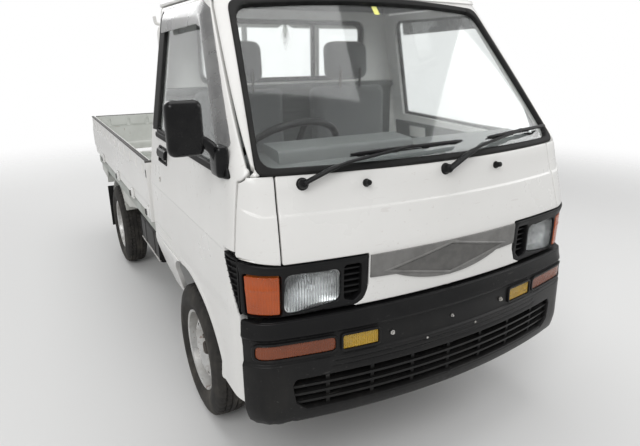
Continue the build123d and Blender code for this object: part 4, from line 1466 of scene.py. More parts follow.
def screen_edge(inset: float, pitch: float = 0.012) -> list[Point2]:
    """The windscreen's edge on the left half, from the top's centre to the bottom's, moved in.

    Args:
        inset: How far in.
        pitch: The distance between points.

    Returns:
        Points in (x, z).
    """
    (low_x, low_z), (top_x, top_z) = SCREEN_SIDE
    low_x, top_x = low_x - inset, top_x - inset
    low_z, top_z, middle_z = low_z + inset, top_z - inset, SCREEN_TOP_Z - inset
    run = [(x, middle_z - (middle_z - top_z) * (x / top_x) ** 2) for x in np.arange(0, top_x - 0.035, pitch)]
    corner = 0.045 if inset > 0.01 else 0.03
    for t in np.linspace(0, 1, 7):
        a = (top_x - corner, middle_z - (middle_z - top_z) * ((top_x - corner) / top_x) ** 2)
        b = (top_x + (low_x - top_x) * corner / (top_z - low_z), top_z - corner)
        run.append(tuple((1 - t) ** 2 * a[k] + 2 * t * (1 - t) * (top_x, top_z)[k] + t * t * b[k] for k in (0, 1)))
    side_low = (low_x - (low_x - top_x) * corner / (top_z - low_z), low_z + corner)
    run += trace([run[-1], side_low], pitch, close=False)[1:]
    for t in np.linspace(0, 1, 7)[1:]:
        end = (low_x - corner, low_z)
        run.append(
            tuple((1 - t) ** 2 * side_low[k] + 2 * t * (1 - t) * (low_x, low_z)[k] + t * t * end[k] for k in (0, 1))
        )
    run += trace([run[-1], (0, low_z)], pitch, close=False)[1:]
    return run


# ---- The cab ----

SILL_Z = 0.640
"""Where the cab's side panels end above the sill."""
COWL_Z = 1.1015
"""The front panels' upper seam, below the windscreen."""
LIP_REACH = (0.019, 0.025)
"""How wide the raised lip along a wheel opening is, and where it has run out."""
NOZZLE_PROFILE = ((-0.004, 0), (-0.004, 0.012), (0.003, 0.012), (0.008, 0.009), (0.020, 0.008), (0.022, 0))


@dataclass
class CabShell:
    """Roof, pillars, back wall and sills of the cab, with its headlining.

    Attributes:
        wall: Depth of the pillars and the back wall.
        roof_v: Where the roof begins on the pattern.
        sill: The sill's edge in (y, z), behind the wheel opening.
    """

    wall: float = 0.03
    roof_v: float = 1.612
    sill: Steps = (
        (-0.395, 0.640), (-0.395, 0.372), (-0.590, 0.372), (-0.700, 0.520, -0.664, 0.450),
        (-0.870, 0.640, -0.752, 0.606),
    )

    def build(self) -> None:
        """Builds and dresses the shell."""
        piece("cab_shell_skin", self.skin(), (BODY_PAINT, BODY_PAINT), ("cab_shell",))
        piece("cab_roof", self.roof(), (BODY_PAINT, LINING_GREY))
        piece("cab_sills", self.sills(), (BODY_PAINT, CHASSIS_BLACK))
        piece("cab_rear_lining", self.lining(), (LINING_GREY, LINING_GREY))

    def skin(self) -> bmesh.types.BMesh:
        """The ring round the doors, the pillars and the back wall."""
        half, low_z, top_z = REAR_LIGHT
        top = [CAB.front(x, z) for x, z in screen_edge(0.0) if z > 1.106]
        door = grown(DOOR_EDGE, SEAM)[::-1]
        start = next(i for i, p in enumerate(door) if p[1] > COWL_Z and p[0] < -1.3)
        way = door[start:] + door[:start]
        end = next(i for i, p in enumerate(way) if p[0] > -0.43 and p[1] < 0.66)
        rim = [CAB.side(y, z) for y, z in way[: end + 1]]
        bottom = [CAB.side(-0.42 + 0.003 * k, SILL_Z) for k in range(1, 8)]
        bottom += [CAB.back(x, SILL_Z) for x in [*np.arange(0.66, 0.0, -0.02), 0.0]]
        light = rounded([(0.0, low_z, 0), (half, low_z, 0.05), (half, top_z, 0.05), (0.0, top_z, 0)], 0.05)
        light = [p for p in light if p[0] > 1e-4]
        back = [CAB.back(0.0, z) for z in np.arange(0.66, low_z - 0.01, 0.02)]
        back += [CAB.back(0.0, low_z)] + [CAB.back(x, z) for x, z in light] + [CAB.back(0.0, top_z)]
        v = self.roof_v
        far = CAB.back(0.0, v)[0]
        over = [(u, v) for u in np.linspace(far, 0.0, 150)]
        outline = top + [CAB.front(0.6045, COWL_Z)] + rim + bottom + back + over
        return mirror_in(
            Sheet(CAB.at, outline, thick=self.wall, roll=0.004, pitch=0.03, seam=CAB.on_centre).build(), weld=True
        )

    def roof(self) -> bmesh.types.BMesh:
        """The roof panel, its lining and the gutter that covers its seam."""
        bm = bmesh.new()
        rings: list[list[tuple[Vector, Vector]]] = []
        for v in [*np.linspace(self.roof_v - 0.004, 1.75, 12), 1.80, 1.86, 1.93, 2.02, 2.11, 2.18, 2.22]:
            at = CAB.turns(v)
            stops = np.cumsum([0, at.bow_run, at.corner_run, at.side_run, at.back * math.pi / 2, at.half - at.back])
            us = []
            for k, count in enumerate((12, 9, 14, 5, 8)):
                us += list(np.linspace(stops[k], stops[k + 1], count, endpoint=k == 4))
            rings.append([(CAB.at(u, v), CAB.normal(u, min(v, 2.1))) for u in us])
        for depth, number in ((0.0, 0), (0.022, 1)):
            verts = [[bm.verts.new(p - n * depth) for p, n in ring] for ring in rings]
            for a, b in zip(verts, verts[1:]):
                for i in range(len(a) - 1):
                    order = [a[i], a[i + 1], b[i + 1], b[i]]
                    bm.faces.new(order if number == 0 else order[::-1]).material_index = number
            cap = verts[-1]
            bm.faces.new(cap if number == 0 else cap[::-1]).material_index = number
        v = self.roof_v
        steps = list(np.linspace(0.0, CAB.back(0.0, v)[0], 160))
        spots = [
            (-0.006, -0.002), (-0.006, 0.006), (0.001, 0.0085), (0.005, 0.0085), (0.005, 0.0035), (0.008, -0.002)
        ]
        band(bm, CAB, spots, lambda u, d: (u, v + d), steps, ends=False)
        return mirror_in(bm, weld=True)

    def sills(self) -> bmesh.types.BMesh:
        """The fixed panels behind the wheel openings, with their turned-under lower edge."""
        tuck = ((0.372, 0.618), (0.470, 0.655), (0.600, 0.692), (0.69, 0.692))

        def surface(u: float, v: float) -> Vector:
            return Vector((eased(tuck, v, (-0.02, -0.01, 0, 0.01, 0.02)), u, v))

        edge = trace(self.sill)
        arch = [p for p in edge if p[0] < -0.59]

        def relief(u: float, v: float, _: Vector) -> float:
            return -0.003 * smooth_step(near_line((u, v), arch), *LIP_REACH)

        lip = [(u + 0.02, v - 0.012) for u, v in arch[2:-2]]
        sheet = Sheet(surface, edge, thick=0.02, roll=0.004, pitch=0.024, relief=relief, guides=((lip, 0.004),))
        return mirror_in(sheet.build())

    def lining(self) -> bmesh.types.BMesh:
        """The ribbed panel inside the back wall, below the rear window."""
        bm = bmesh.new()
        y = -0.395 - self.wall
        slab(bm, (-0.60, y - 0.012, 0.70), (0.60, y, 1.262), 0.006)
        for z in (0.76 + k * 0.055 for k in range(9)):
            slab(bm, (-0.56, y - 0.018, z), (0.56, y - 0.008, z + 0.018), 0.004)
        slab(bm, (-0.60, y - 0.03, 1.25), (0.60, y, 1.282), 0.008)
        return bm


@dataclass
class FrontPanels:
    """The panel under the windscreen and the two corner panels, with the line pressed across them.

    Attributes:
        crease_z: Height of the pressed line.
        step: How far the surface above it lies in.
        seam: x of the corner panel's seam at its top and bottom.
        top_z: The panels' upper edge.
        low_z: Their lower edge above the lamps.
    """

    crease_z: float = 0.995
    step: float = 0.0035
    seam: tuple[float, float] = (0.556, 0.573)
    top_z: float = 1.101
    low_z: float = 0.862

    def build(self) -> None:
        """Builds and dresses the panels."""
        bm = self.middle()
        self.corner(bm)
        piece("front_panel_skins", bm, (BODY_PAINT, CHASSIS_BLACK), ("front_panels",))
        self.nozzles()

    def crease(self, x: float) -> float:
        """The pressed line's height at x; its ends curl up."""
        return self.crease_z + 1.1 * max(0.0, x - 0.60) ** 1.35

    def relief(self, u: float, v: float, at: Vector) -> float:
        """The surface above the line lies in and comes back under the windscreen."""
        x = abs(at.x)
        above = smooth_step(v - self.crease(x), -0.004, 0.003)
        fade = smooth_step(x, 0.665, 0.63) * smooth_step(v, 1.085, 1.03)
        return -self.step * above * fade

    def line(self, start: float, end: float) -> list[Point2]:
        """The pressed line on the pattern."""
        return [CAB.front(x, self.crease(x)) for x in np.linspace(start, end, 24)]

    def middle(self) -> bmesh.types.BMesh:
        """The middle panel down to the bumper."""
        top, low = self.seam
        corners = rounded(
            [
                (0.0, self.top_z, 0), (top - HALF_SEAM, self.top_z, 0.004), (low - HALF_SEAM, self.low_z, 0.006),
                (0.305, self.low_z, 0.006), (0.305, 0.762, 0.012), (0.3229, 0.7155, 0.012), (0.362, 0.699, 0.004),
                (0.0, 0.699, 0),
            ],
            0.006,
        )
        half = [CAB.front(max(0.0, x), z) for x, z in corners]
        sheet = Sheet(CAB.at, half, thick=0.016, roll=0.0035, relief=self.relief, seam=CAB.on_centre)
        sheet.guides = ((self.line(0.004, top - 0.01), 0.005),)
        return mirror_in(sheet.build(), weld=True)

    def corner(self, bm: bmesh.types.BMesh) -> None:
        """The corner panel between the front and the door."""
        top, low = self.seam
        edge = sorted(
            (p for p in grown(DOOR_EDGE, SEAM) if p[0] < -1.42 and 0.889 < p[1] < 1.096), key=lambda p: -p[1]
        )
        run = [CAB.front(x, self.top_z) for x in np.arange(top + HALF_SEAM, 0.636, 0.008)]
        run += [CAB.side(y, z) for y, z in edge]
        run += [CAB.side(y, z) for y, z in ((-1.463, 0.887), (-1.469, 0.879), (-1.490, 0.878), (-1.515, 0.878))]
        foot, head = (low + HALF_SEAM, self.low_z), (top + HALF_SEAM, self.top_z)
        run += CAB.fronts(trace([(0.675, 0.876), (0.640, 0.870), foot], 0.01, close=False))
        run += CAB.fronts(trace([foot, head], 0.012, close=False)[1:-1])
        guides = ((self.line(top + 0.008, 0.655), 0.004),)
        part = Sheet(CAB.at, run, thick=0.016, roll=0.0035, relief=self.relief, guides=guides).build()
        absorb(bm, mirror_in(part))

    def nozzles(self) -> None:
        """The two washer nozzles above the line."""
        bm = bmesh.new()
        hull = MirroredHull(CAB)
        for x in (-0.290, 0.226):
            spot = hull.front(x, 1.064)
            at, out = hull.at(*spot), hull.normal(*spot)
            lathe(bm, NOZZLE_PROFILE, facing(at, out), 20)
            slab(bm, at + Vector((-0.004, -0.012, 0.002)), at + Vector((0.004, -0.001, 0.009)), 0.002)
        piece("washer_nozzles", bm, (TRIM_BLACK,))


@dataclass
class Glazing:
    """Windscreen and rear window with their rubber frames, and the small blank tag on the windscreen.

    Attributes:
        rubber_out: How far the windscreen's rubber reaches outward from the opening's edge.
        rubber_in: How far it reaches inward.
    """

    rubber_out: float = 0.002
    rubber_in: float = 0.016

    def build(self) -> None:
        """Builds and dresses the glazing."""
        outer, inner = screen_edge(-self.rubber_out), screen_edge(self.rubber_in)
        ring = [CAB.front(*p) for p in outer] + [CAB.front(*p) for p in reversed(inner)]
        rubber = Sheet(CAB.at, ring, thick=0.02, roll=0.0055, pitch=0.012, lift=0.0065, seam=CAB.on_centre).build()
        light = self.frame_edge(0.0, 0.05) + self.frame_edge(0.022, 0.035)[::-1]
        Sheet(CAB.at, light, thick=0.02, roll=0.006, pitch=0.014, lift=0.006, seam=CAB.on_centre).build(rubber)
        piece("window_rubber_frames", mirror_in(rubber, weld=True), (RUBBER, RUBBER), ("window_rubbers",))
        pane = [CAB.front(*p) for p in screen_edge(0.009)]
        glass = Sheet(CAB.at, pane, thick=0.005, roll=0.0006, pitch=0.03, lift=-0.005, seam=CAB.on_centre).build()
        rear = self.frame_edge(0.014, 0.04)
        Sheet(CAB.at, rear, thick=0.004, roll=0.0006, pitch=0.04, lift=-0.006, seam=CAB.on_centre).build(glass)
        piece("cab_panes", mirror_in(glass, weld=True), (GLASS, GLASS), ("cab_glass",))
        bm = bmesh.new()
        slab(bm, (0.138, -0.417, 1.300), (0.152, -0.388, 1.560), 0.004)
        piece("rear_window_divider", bm, (TRIM_BLACK,))
        self.tag()

    def frame_edge(self, inset: float, radius: float) -> list[Point2]:
        """The rear window's edge on the left half, moved in."""
        half, low_z, top_z = REAR_LIGHT
        half, low_z, top_z = half - inset, low_z + inset, top_z - inset
        run = rounded([(0.0, low_z, 0), (half, low_z, radius), (half, top_z, radius), (0.0, top_z, 0)], radius)
        return [
            CAB.back(max(0.0, x), z) for x, z in run if x > 1e-4 or abs(z - low_z) < 1e-6 or abs(z - top_z) < 1e-6
        ]

    def tag(self) -> None:
        """The blank paper tag inside the windscreen's upper edge."""
        u, v = CAB.front(0.012, 1.572)
        wide, high = 0.011, 0.014
        edge = trace([(u - wide, v - high), (u + wide, v - high), (u + wide, v + high), (u - wide, v + high)], 0.006)
        sheet = Sheet(CAB.at, edge, thick=0.0006, roll=0.0001, lift=-0.0115)
        piece("windscreen_tag", sheet.build(), (PAPER, PAPER))


# ---- The front's lamps, bumper and trim ----


@dataclass
class LampGroup:
    """The black surround with headlamp, corner lamp, ribbed pocket and the slatted panel behind it, on both sides.

    Attributes:
        head: The headlamp's edge in (x, z).
        pocket: The pocket's edge in (x, z).
        slats: How many slats the panel has.
        rib_z: Height of the rib across the corner lamp.
    """

    head: Sequence[Point2] = ((0.398, 0.824), (0.562, 0.826), (0.566, 0.704), (0.400, 0.728))
    pocket: Sequence[Point2] = ((0.330, 0.835), (0.386, 0.835), (0.386, 0.726), (0.352, 0.716), (0.330, 0.738))
    slats: int = 9
    rib_z: float = 0.787

    def build(self) -> None:
        """Builds and dresses the lamp groups."""
        piece("lamp_surrounds", mirror_in(self.surround()), (TRIM_BLACK, TRIM_BLACK), ("lamp_bezels",))
        piece("louvre_slats", mirror_in(self.louvres()), (TRIM_BLACK, TRIM_BLACK))
        piece("headlamp_reflectors", mirror_in(self.reflector()), (REFLECTOR, TRIM_BLACK))
        piece("headlamp_lenses", mirror_in(self.lens()), (LAMP_GLASS, LAMP_GLASS), ("headlamps",))
        piece("corner_lamp_backs", mirror_in(self.corner(-0.016, 0.001)), (AMBER_BACK, AMBER_BACK))
        piece("corner_lamp_lenses", mirror_in(self.corner(-0.001, 0.004)), (AMBER, AMBER), ("amber_lamps",))

    def head_edge(self, amount: float) -> list[Point2]:
        """The headlamp's rounded edge on the pattern, moved outward by an amount."""
        return CAB.fronts(grown(rounded(self.head, 0.024), amount))

    def corner_edge(self, amount: float) -> list[Point2]:
        """The corner lamp's edge on the pattern, moved outward by an amount."""
        low, high = CAB.front(0.577, 0.7055), CAB.front(0.577, 0.830)
        far_low, far_high = CAB.side(-1.490, 0.7055), CAB.side(-1.486, 0.832)
        return grown(rounded([low, far_low, far_high, high], 0.010), amount)

    def surround(self) -> bmesh.types.BMesh:
        """The moulded frame with the pocket's back and ribs."""
        upper = ((0.308, 0.858), (0.45, 0.858), (0.573, 0.858), (0.66, 0.866))
        rim = trace(CAB.fronts(upper), 0.012, close=False)
        rim += trace([CAB.side(-1.51, 0.868), CAB.side(-1.4745, 0.868), CAB.side(-1.4745, 0.698)], 0.012, close=False)
        rim += trace([CAB.front(0.60, 0.698), CAB.front(0.46, 0.698)], 0.012, close=False)
        rim += CAB.fronts(trace([(0.44, 0.698), (0.368, 0.698), (0.308, 0.758, 0.3256, 0.7156)], 0.010, close=False))

        def relief(u: float, v: float, at: Vector) -> float:
            top = 0.004 * smooth_step(v, 0.838, 0.850)
            return top - 0.006 * smooth_step(v, 0.704, 0.699)

        holes = [self.head_edge(0.003), self.corner_edge(0.002), CAB.fronts(rounded(self.pocket, 0.012))]
        bm = Sheet(CAB.at, rim, holes, thick=0.045, roll=0.004, pitch=0.014, relief=relief).build()
        back = CAB.fronts(grown(rounded(self.pocket, 0.012), 0.004))
        Sheet(CAB.at, back, thick=0.004, roll=0.001, pitch=0.012, lift=-0.034).build(bm)
        for row in range(5):
            z = 0.743 + row * 0.019
            spots = [(-0.0025, -0.036), (-0.0025, -0.012), (0.0025, -0.012), (0.0025, -0.036)]
            band(bm, CAB, spots, lambda x, d: CAB.front(x, z + d), np.linspace(0.331, 0.387, 6))
        return bm

    def louvres(self) -> bmesh.types.BMesh:
        """The slatted triangle between the surround and the door."""
        edge = trace([CAB.side(y, z) for y, z in ((-1.4725, 0.699), (-1.4065, 0.882), (-1.4725, 0.873))], 0.01)
        bm = Sheet(CAB.at, edge, thick=0.012, roll=0.001, pitch=0.014, lift=-0.007).build()
        Sheet(CAB.at, edge, [grown(edge, -0.0055)], thick=0.012, roll=0.0012, pitch=0.014, lift=0.0).build(bm)
        for row in range(self.slats):
            z = 0.722 + row * 0.0178
            reach = -1.4715 + (z - 0.700) / 0.182 * 0.065
            spots = [(-0.006, -0.008), (-0.003, -0.0005), (0.0005, -0.0005), (-0.002, -0.008)]
            band(bm, CAB, spots, lambda y, d: CAB.side(y, z + d), np.linspace(-1.4725, reach, 4))
        return bm

    def dome(self, wide: float, high: float, rise: float, fall: float) -> Callable[[float, float, Vector], float]:
        """A relief that rises in the headlamp's middle, or sinks for a negative rise.

        Args:
            wide: Half width of the ellipse that it is measured by.
            high: Half its height.
            rise: How far the middle stands out.
            fall: How fast it falls off.

        Returns:
            The relief of a place.
        """
        middle = np.mean(CAB.fronts(self.head), axis=0)

        def relief(u: float, v: float, _: Vector) -> float:
            off = ((u - middle[0]) / wide) ** 2 + ((v - middle[1]) / high) ** 2
            return rise * max(0.0, 1 - fall * off)

        return relief

    def lens(self) -> bmesh.types.BMesh:
        """The headlamp's domed glass."""
        relief = self.dome(0.088, 0.062, 0.006, 0.55)
        return Sheet(
            CAB.at, self.head_edge(-0.001), thick=0.003, roll=0.0025, pitch=0.01, lift=-0.006, relief=relief
        ).build()

    def reflector(self) -> bmesh.types.BMesh:
        """The bright bowl behind the headlamp's glass, with its bulb shield."""
        middle = np.mean(CAB.fronts(self.head), axis=0)
        relief = self.dome(0.092, 0.066, -0.036, 0.85)
        bm = Sheet(
            CAB.at, self.head_edge(0.0025), thick=0.042, roll=0.0008, pitch=0.009, lift=-0.010, relief=relief
        ).build()
        at, out = CAB.at(*middle), CAB.normal(*middle)
        shield = [(0, 0), (0, 0.012), (0.014, 0.012), (0.020, 0.009), (0.022, 0)]
        lathe(bm, shield, facing(at - out * 0.042, out), 20)
        return bm

    def corner(self, lift: float, amount: float) -> bmesh.types.BMesh:
        """One layer of the corner lamp, with the level rib across its lens."""

        def relief(u: float, v: float, _: Vector) -> float:
            return 0.0016 * math.exp(-(((v - self.rib_z) / 0.0035) ** 2))

        line = [CAB.front(0.585, self.rib_z), CAB.side(-1.492, self.rib_z)]
        sheet = Sheet(
            CAB.at, self.corner_edge(-amount), thick=0.005, roll=0.003, pitch=0.011, lift=lift, relief=relief
        )
        sheet.guides = ((line, 0.003),)
        return sheet.build()


@dataclass
class Bumper:
    """The black bumper with its ledge, ridge, lamp band and slatted mouth.

    Attributes:
        indicator: The indicator's edge in (x, z).
        fog: The fog lamp's edge in (x, z).
        mouth: The mouth's half width, low z and top z.
        grooves: Heights of the two grooves above the mouth.
        ledge_z: Height of the upper edge.
    """

    indicator: Sequence[Point2] = ((0.424, 0.622), (0.664, 0.622), (0.664, 0.574), (0.424, 0.574))
    fog: Sequence[Point2] = ((0.282, 0.621), (0.404, 0.621), (0.404, 0.571), (0.282, 0.571))
    mouth: tuple[float, float, float] = (0.560, 0.390, 0.500)
    grooves: Sequence[float] = (0.524, 0.541)
    ledge_z: float = 0.690

    def build(self) -> None:
        """Builds and dresses the bumper and its lamps."""
        bm = self.skin()
        self.ledge(bm)
        self.slats(bm)
        piece("bumper_skin", bm, (BUMPER_PLASTIC, BUMPER_PLASTIC), ("front_bumper",))
        for name, edge, radius, front, back, stands in (
            ("indicator", self.indicator, 0.016, INDICATOR, AMBER_BACK, ("amber_lamps",)),
            ("fog_lamp", self.fog, 0.006, FOG_YELLOW, FOG_BACK, ("fog_lamps",)),
        ):
            loop = BUMPER.fronts(rounded(edge, radius))
            rear = Sheet(BUMPER.at, grown(loop, 0.001), thick=0.004, roll=0.001, pitch=0.01, lift=-0.024)
            rear.relief = self.bowl(loop)
            piece(f"{name}_backs", mirror_in(rear.build()), (back, back))
            lens = Sheet(BUMPER.at, grown(loop, -0.0022), thick=0.004, roll=0.003, pitch=0.011, lift=-0.0055).build()
            piece(f"{name}_lenses", mirror_in(lens), (front, front), stands)
        self.fixings()

    def bowl(self, loop: Sequence[Point2]) -> Callable[[float, float, Vector], float]:
        """A hollow for a lamp's back, shallow at the edge."""
        middle = np.mean(loop, axis=0)
        spread = np.ptp(np.array(loop), axis=0) / 2
        return lambda u, v, _: -0.010 * max(
            0.0, 1 - ((u - middle[0]) / spread[0]) ** 2 - 0.5 * ((v - middle[1]) / spread[1]) ** 2
        )

    def relief(self, u: float, v: float, at: Vector) -> float:
        """The lamp band lies in between the ridge and the mouth, with raised lamp frames."""
        x = abs(at.x)
        band_in = -0.0085 * smooth_step(v, 0.643, 0.634) * smooth_step(v, 0.552, 0.560) * smooth_step(x, 0.692, 0.686)
        groove = sum(-0.0035 * math.exp(-(((v - z) / 0.0022) ** 2)) for z in self.grooves)
        return band_in + groove * smooth_step(x, 0.44, 0.43)

    def skin(self) -> bmesh.types.BMesh:
        """The outer skin with its lamp holes and mouth."""
        half, low_z, top_z = self.mouth
        corners = [
            (0.0, low_z, 0), (half - 0.04, low_z), (half - 0.008, low_z + 0.03), (half, top_z - 0.02),
            (half - 0.01, top_z), (0.0, top_z, 0),
        ]
        gap = rounded(corners, 0.012)
        gap = [p for p in gap if p[0] > 1e-4 or p[1] in (low_z, top_z)]
        run = [BUMPER.front(x, 0.339) for x in np.arange(0.0, 0.56, 0.014)]
        run += [BUMPER.side(y, 0.339) for y in (-1.565, -1.55, -1.535)]
        for z in np.arange(0.345, 0.686, 0.012):
            rear = float(np.interp(z, (0.392, 0.616, 0.676), (-1.501, -1.495, -1.485)))
            run.append(BUMPER.side(rear - 0.012 * math.exp(-(z - 0.339) / 0.02), z))
        run += [BUMPER.side(-1.484, self.ledge_z)]
        run += [BUMPER.front(x, self.ledge_z) for x in [*np.arange(0.655, 0.0, -0.014), 0.0]]
        run += [BUMPER.front(*p) for p in reversed(gap)]
        lines = [([BUMPER.front(x, z) for x in np.linspace(0.004, 0.68, 30)], 0.004) for z in (0.6385, 0.556)]
        lines += [([BUMPER.front(x, z) for x in np.linspace(0.004, 0.43, 20)], 0.0025) for z in self.grooves]
        lamps = [rounded(self.indicator, 0.018), rounded(self.fog, 0.008)]
        holes = [BUMPER.fronts(loop) for loop in lamps]
        sheet = Sheet(BUMPER.at, run, holes, thick=0.022, roll=0.005, pitch=0.017, seam=BUMPER.on_centre)
        sheet.relief, sheet.guides = self.relief, lines
        bm = mirror_in(sheet.build(), weld=True)
        for loop in lamps:
            ring, hole = BUMPER.fronts(grown(loop, 0.0055)), BUMPER.fronts(grown(loop, -0.0015))
            for side in Side:
                part = Sheet(BUMPER.at, ring, [hole], thick=0.012, roll=0.0022, pitch=0.01, lift=-0.001).build()
                absorb(bm, sided(part, side))
        return bm

    def ledge(self, bm: bmesh.types.BMesh) -> None:
        """The flat shelf that runs back from the bumper's top to the panels."""
        spots = [
            (0.684, -0.002), (0.692, -0.006), (0.6945, -0.014), (0.6945, -0.058), (0.680, -0.058), (0.680, -0.004)
        ]
        hull = MirroredHull(BUMPER)
        band(bm, hull, spots, hull.front, np.linspace(-0.640, 0.640, 60))

    def slats(self, bm: bmesh.types.BMesh) -> None:
        """The slats and posts across the mouth."""
        hull = MirroredHull(BUMPER)
        for z in (0.418, 0.445, 0.472):
            spots = [(z - 0.004, -0.038), (z - 0.005, -0.009), (z + 0.005, -0.006), (z + 0.0045, -0.038)]
            band(bm, hull, spots, hull.front, np.linspace(-0.566, 0.566, 50))
        spots = [(0.386, -0.010), (0.386, -0.090), (0.380, -0.090), (0.380, -0.010)]
        band(bm, hull, spots, hull.front, np.linspace(-0.56, 0.56, 40))
        for x0 in (-0.45, -0.3, -0.15, 0.0, 0.15, 0.3, 0.45):
            spots = [(x0 - 0.007, -0.038), (x0 + 0.007, -0.038), (x0 + 0.006, -0.014), (x0 - 0.006, -0.014)]
            band(bm, hull, spots, lambda z, x: hull.front(x, z), (0.382, 0.44, 0.508))

    def fixings(self) -> None:
        """The plate's two bolts, left bare, and the small clips below them."""
        bm = bmesh.new()
        hull = MirroredHull(BUMPER)
        for x, z, size in (
            (-0.235, 0.595, 0.0055), (0.235, 0.595, 0.0055), (-0.105, 0.547, 0.004), (0.105, 0.547, 0.004),
            (0.0, 0.598, 0.0035),
        ):
            spot = hull.front(x, z)
            at, out = hull.at(*spot), hull.normal(*spot)
            washer = size * 1.5
            head = [(-0.003, 0), (-0.003, washer), (0.001, washer), (0.002, size), (0.006, size * 0.9), (0.0065, 0)]
            lathe(bm, head, facing(at - out * 0.004, out), 6 if size > 0.005 else 16)
        piece("bumper_fixings", bm, (BRIGHT_STEEL,))


@dataclass
class MirroredHull:
    """A hull whose U runs on past the centre to the right side as negative values."""

    hull: Hull

    def at(self, u: float, v: float) -> Vector:
        """The place of a point of the pattern."""
        place = self.hull.at(abs(u), v)
        place.x = math.copysign(place.x, u) if u else 0.0
        return place

    def normal(self, u: float, v: float) -> Vector:
        """The outward normal at a point of the pattern."""
        out = self.hull.normal(max(abs(u), 0.0009), v)
        out.x = math.copysign(out.x, u) if u else 0.0
        return out

    def front(self, x: float, z: float) -> Point2:
        """The pattern's point that is seen at (x, z) from the front."""
        u, v = self.hull.front(abs(x), z)
        return math.copysign(u, x), v


@dataclass
class Garnish:
    """The weathered grey bar between the lamp surrounds: a bare lozenge stands where a name could be.

    Attributes:
        half: Half its width.
        top_z: Its upper edge.
        low_z: Its lower edge at the ends.
        dip_z: Its lowest point, in the middle.
        field_z: Height of the lozenge's middle.
        field_half: Half the lozenge's width.
        field_rise: Half its height.
    """

    half: float = 0.302
    top_z: float = 0.856
    low_z: float = 0.784
    dip_z: float = 0.738
    field_z: float = 0.797
    field_half: float = 0.252
    field_rise: float = 0.052

    def build(self) -> None:
        """Builds and dresses the bar."""
        dip_half, dip_end = 0.214, self.low_z - 0.004
        corners = [(0.02, self.top_z), (self.half, self.top_z), (self.half, self.low_z), (dip_half, dip_end)]
        run = [(0.0, self.top_z)] + trace(corners, 0.012, close=False)
        run += [
            (x, self.dip_z + (dip_end - self.dip_z) * (x / dip_half) ** 2) for x in np.arange(0.20, 0.0, -0.012)
        ]
        run += [(0.0, self.dip_z)]
        edge = [CAB.front(x, z) for x, z in run]

        def relief(u: float, v: float, at: Vector) -> float:
            x = abs(at.x)
            inside = 1 - x / self.field_half - abs(v - self.field_z) / self.field_rise
            return 0.0055 + 0.0028 * smooth_step(inside, -0.10, -0.02) - 0.0045 * smooth_step(inside, 0.03, 0.10)

        guides = []
        for way in (1, -1):
            for share in (0.93, 1.0):
                rise = way * self.field_rise * share
                line = [
                    CAB.front(x, self.field_z + rise * (1 - x / self.field_half / share))
                    for x in np.linspace(0.004, 0.248 * share, 24)
                ]
                guides.append((line, 0.003))
        sheet = Sheet(
            CAB.at, edge, thick=0.006, roll=0.002, pitch=0.01, relief=relief, seam=CAB.on_centre, guides=guides
        )
        piece("garnish_plate", mirror_in(sheet.build(), weld=True), (PLATE_GREY, TRIM_BLACK), ("garnish_bar",))
        inner = [CAB.front(x, self.field_z + rise) for x, rise in ((0.0, 0.046), (0.223, 0.0), (0.0, -0.046))]
        plaque = Sheet(
            CAB.at, trace(inner, 0.012), thick=0.003, roll=0.0008, pitch=0.012, lift=0.0048, seam=CAB.on_centre
        ).build()
        piece("garnish_field", mirror_in(plaque, weld=True), (FIELD_GREY, TRIM_BLACK))


@dataclass
class Wipers:
    """Two wipers lying low on the windscreen.

    Attributes:
        rows: Pivot x and z, and the blade's ends, of each.
    """

    rows: Sequence[tuple[float, ...]] = (
        (-0.482, 1.076, -0.325, 1.134, 0.080, 1.142),
        (-0.002, 1.077, 0.205, 1.142, 0.560, 1.150),
    )

    def above(self, x: float, z: float, lift: float) -> Vector:
        """A point ahead of the cab's front."""
        hull = MirroredHull(CAB)
        spot = hull.front(x, z)
        return hull.at(*spot) + hull.normal(*spot) * lift

    def build(self) -> None:
        """Builds and dresses both wipers."""
        bm = bmesh.new()
        for pivot_x, pivot_z, x0, z0, x1, z1 in self.rows:
            base, tip = self.above(pivot_x, pivot_z, -0.004), self.above(pivot_x, pivot_z, 0.030)
            out = (tip - base).normalized()
            cap = [(0, 0), (0, 0.019), (0.006, 0.018), (0.010, 0.0145), (0.024, 0.0135), (0.029, 0.010), (0.030, 0)]
            lathe(bm, cap, facing(base, out), 28)
            middle_x, middle_z = (x0 + x1) / 2, (z0 + z1) / 2
            knee = self.above(pivot_x + (middle_x - pivot_x) * 0.3, pivot_z + (middle_z - pivot_z) * 0.55, 0.034)
            end = self.above(middle_x, middle_z, 0.030)
            arm = bend([self.above(pivot_x, pivot_z, 0.022), knee, end], 0.06)
            tube(bm, arm, [0.0125] * (len(arm) // 2) + [0.0090] * (len(arm) - len(arm) // 2), 12, flat=0.5)
            ts = np.linspace(0, 1, 15)

            def on_blade(t: float, lift: float) -> Vector:
                return self.above(x0 + (x1 - x0) * t, z0 + (z1 - z0) * t, lift)

            spine = [on_blade(t, 0.019 + 0.006 * math.sin(math.pi * t)) for t in ts]
            tube(bm, spine, [0.005] + [0.0075] * 13 + [0.005], 8, flat=0.7)
            for share in (0.08, 0.36, 0.64, 0.92):
                foot, half = on_blade(share, 0.014), Vector((0.012, 0.005, 0.006))
                slab(bm, foot - half, foot + half, 0.002)
            tube(bm, [on_blade(t, 0.009) for t in ts], 0.0035, 8, flat=0.6)
        piece("wiper_arms", bm, (TRIM_BLACK,), ("wipers",))


# ---- Doors ----


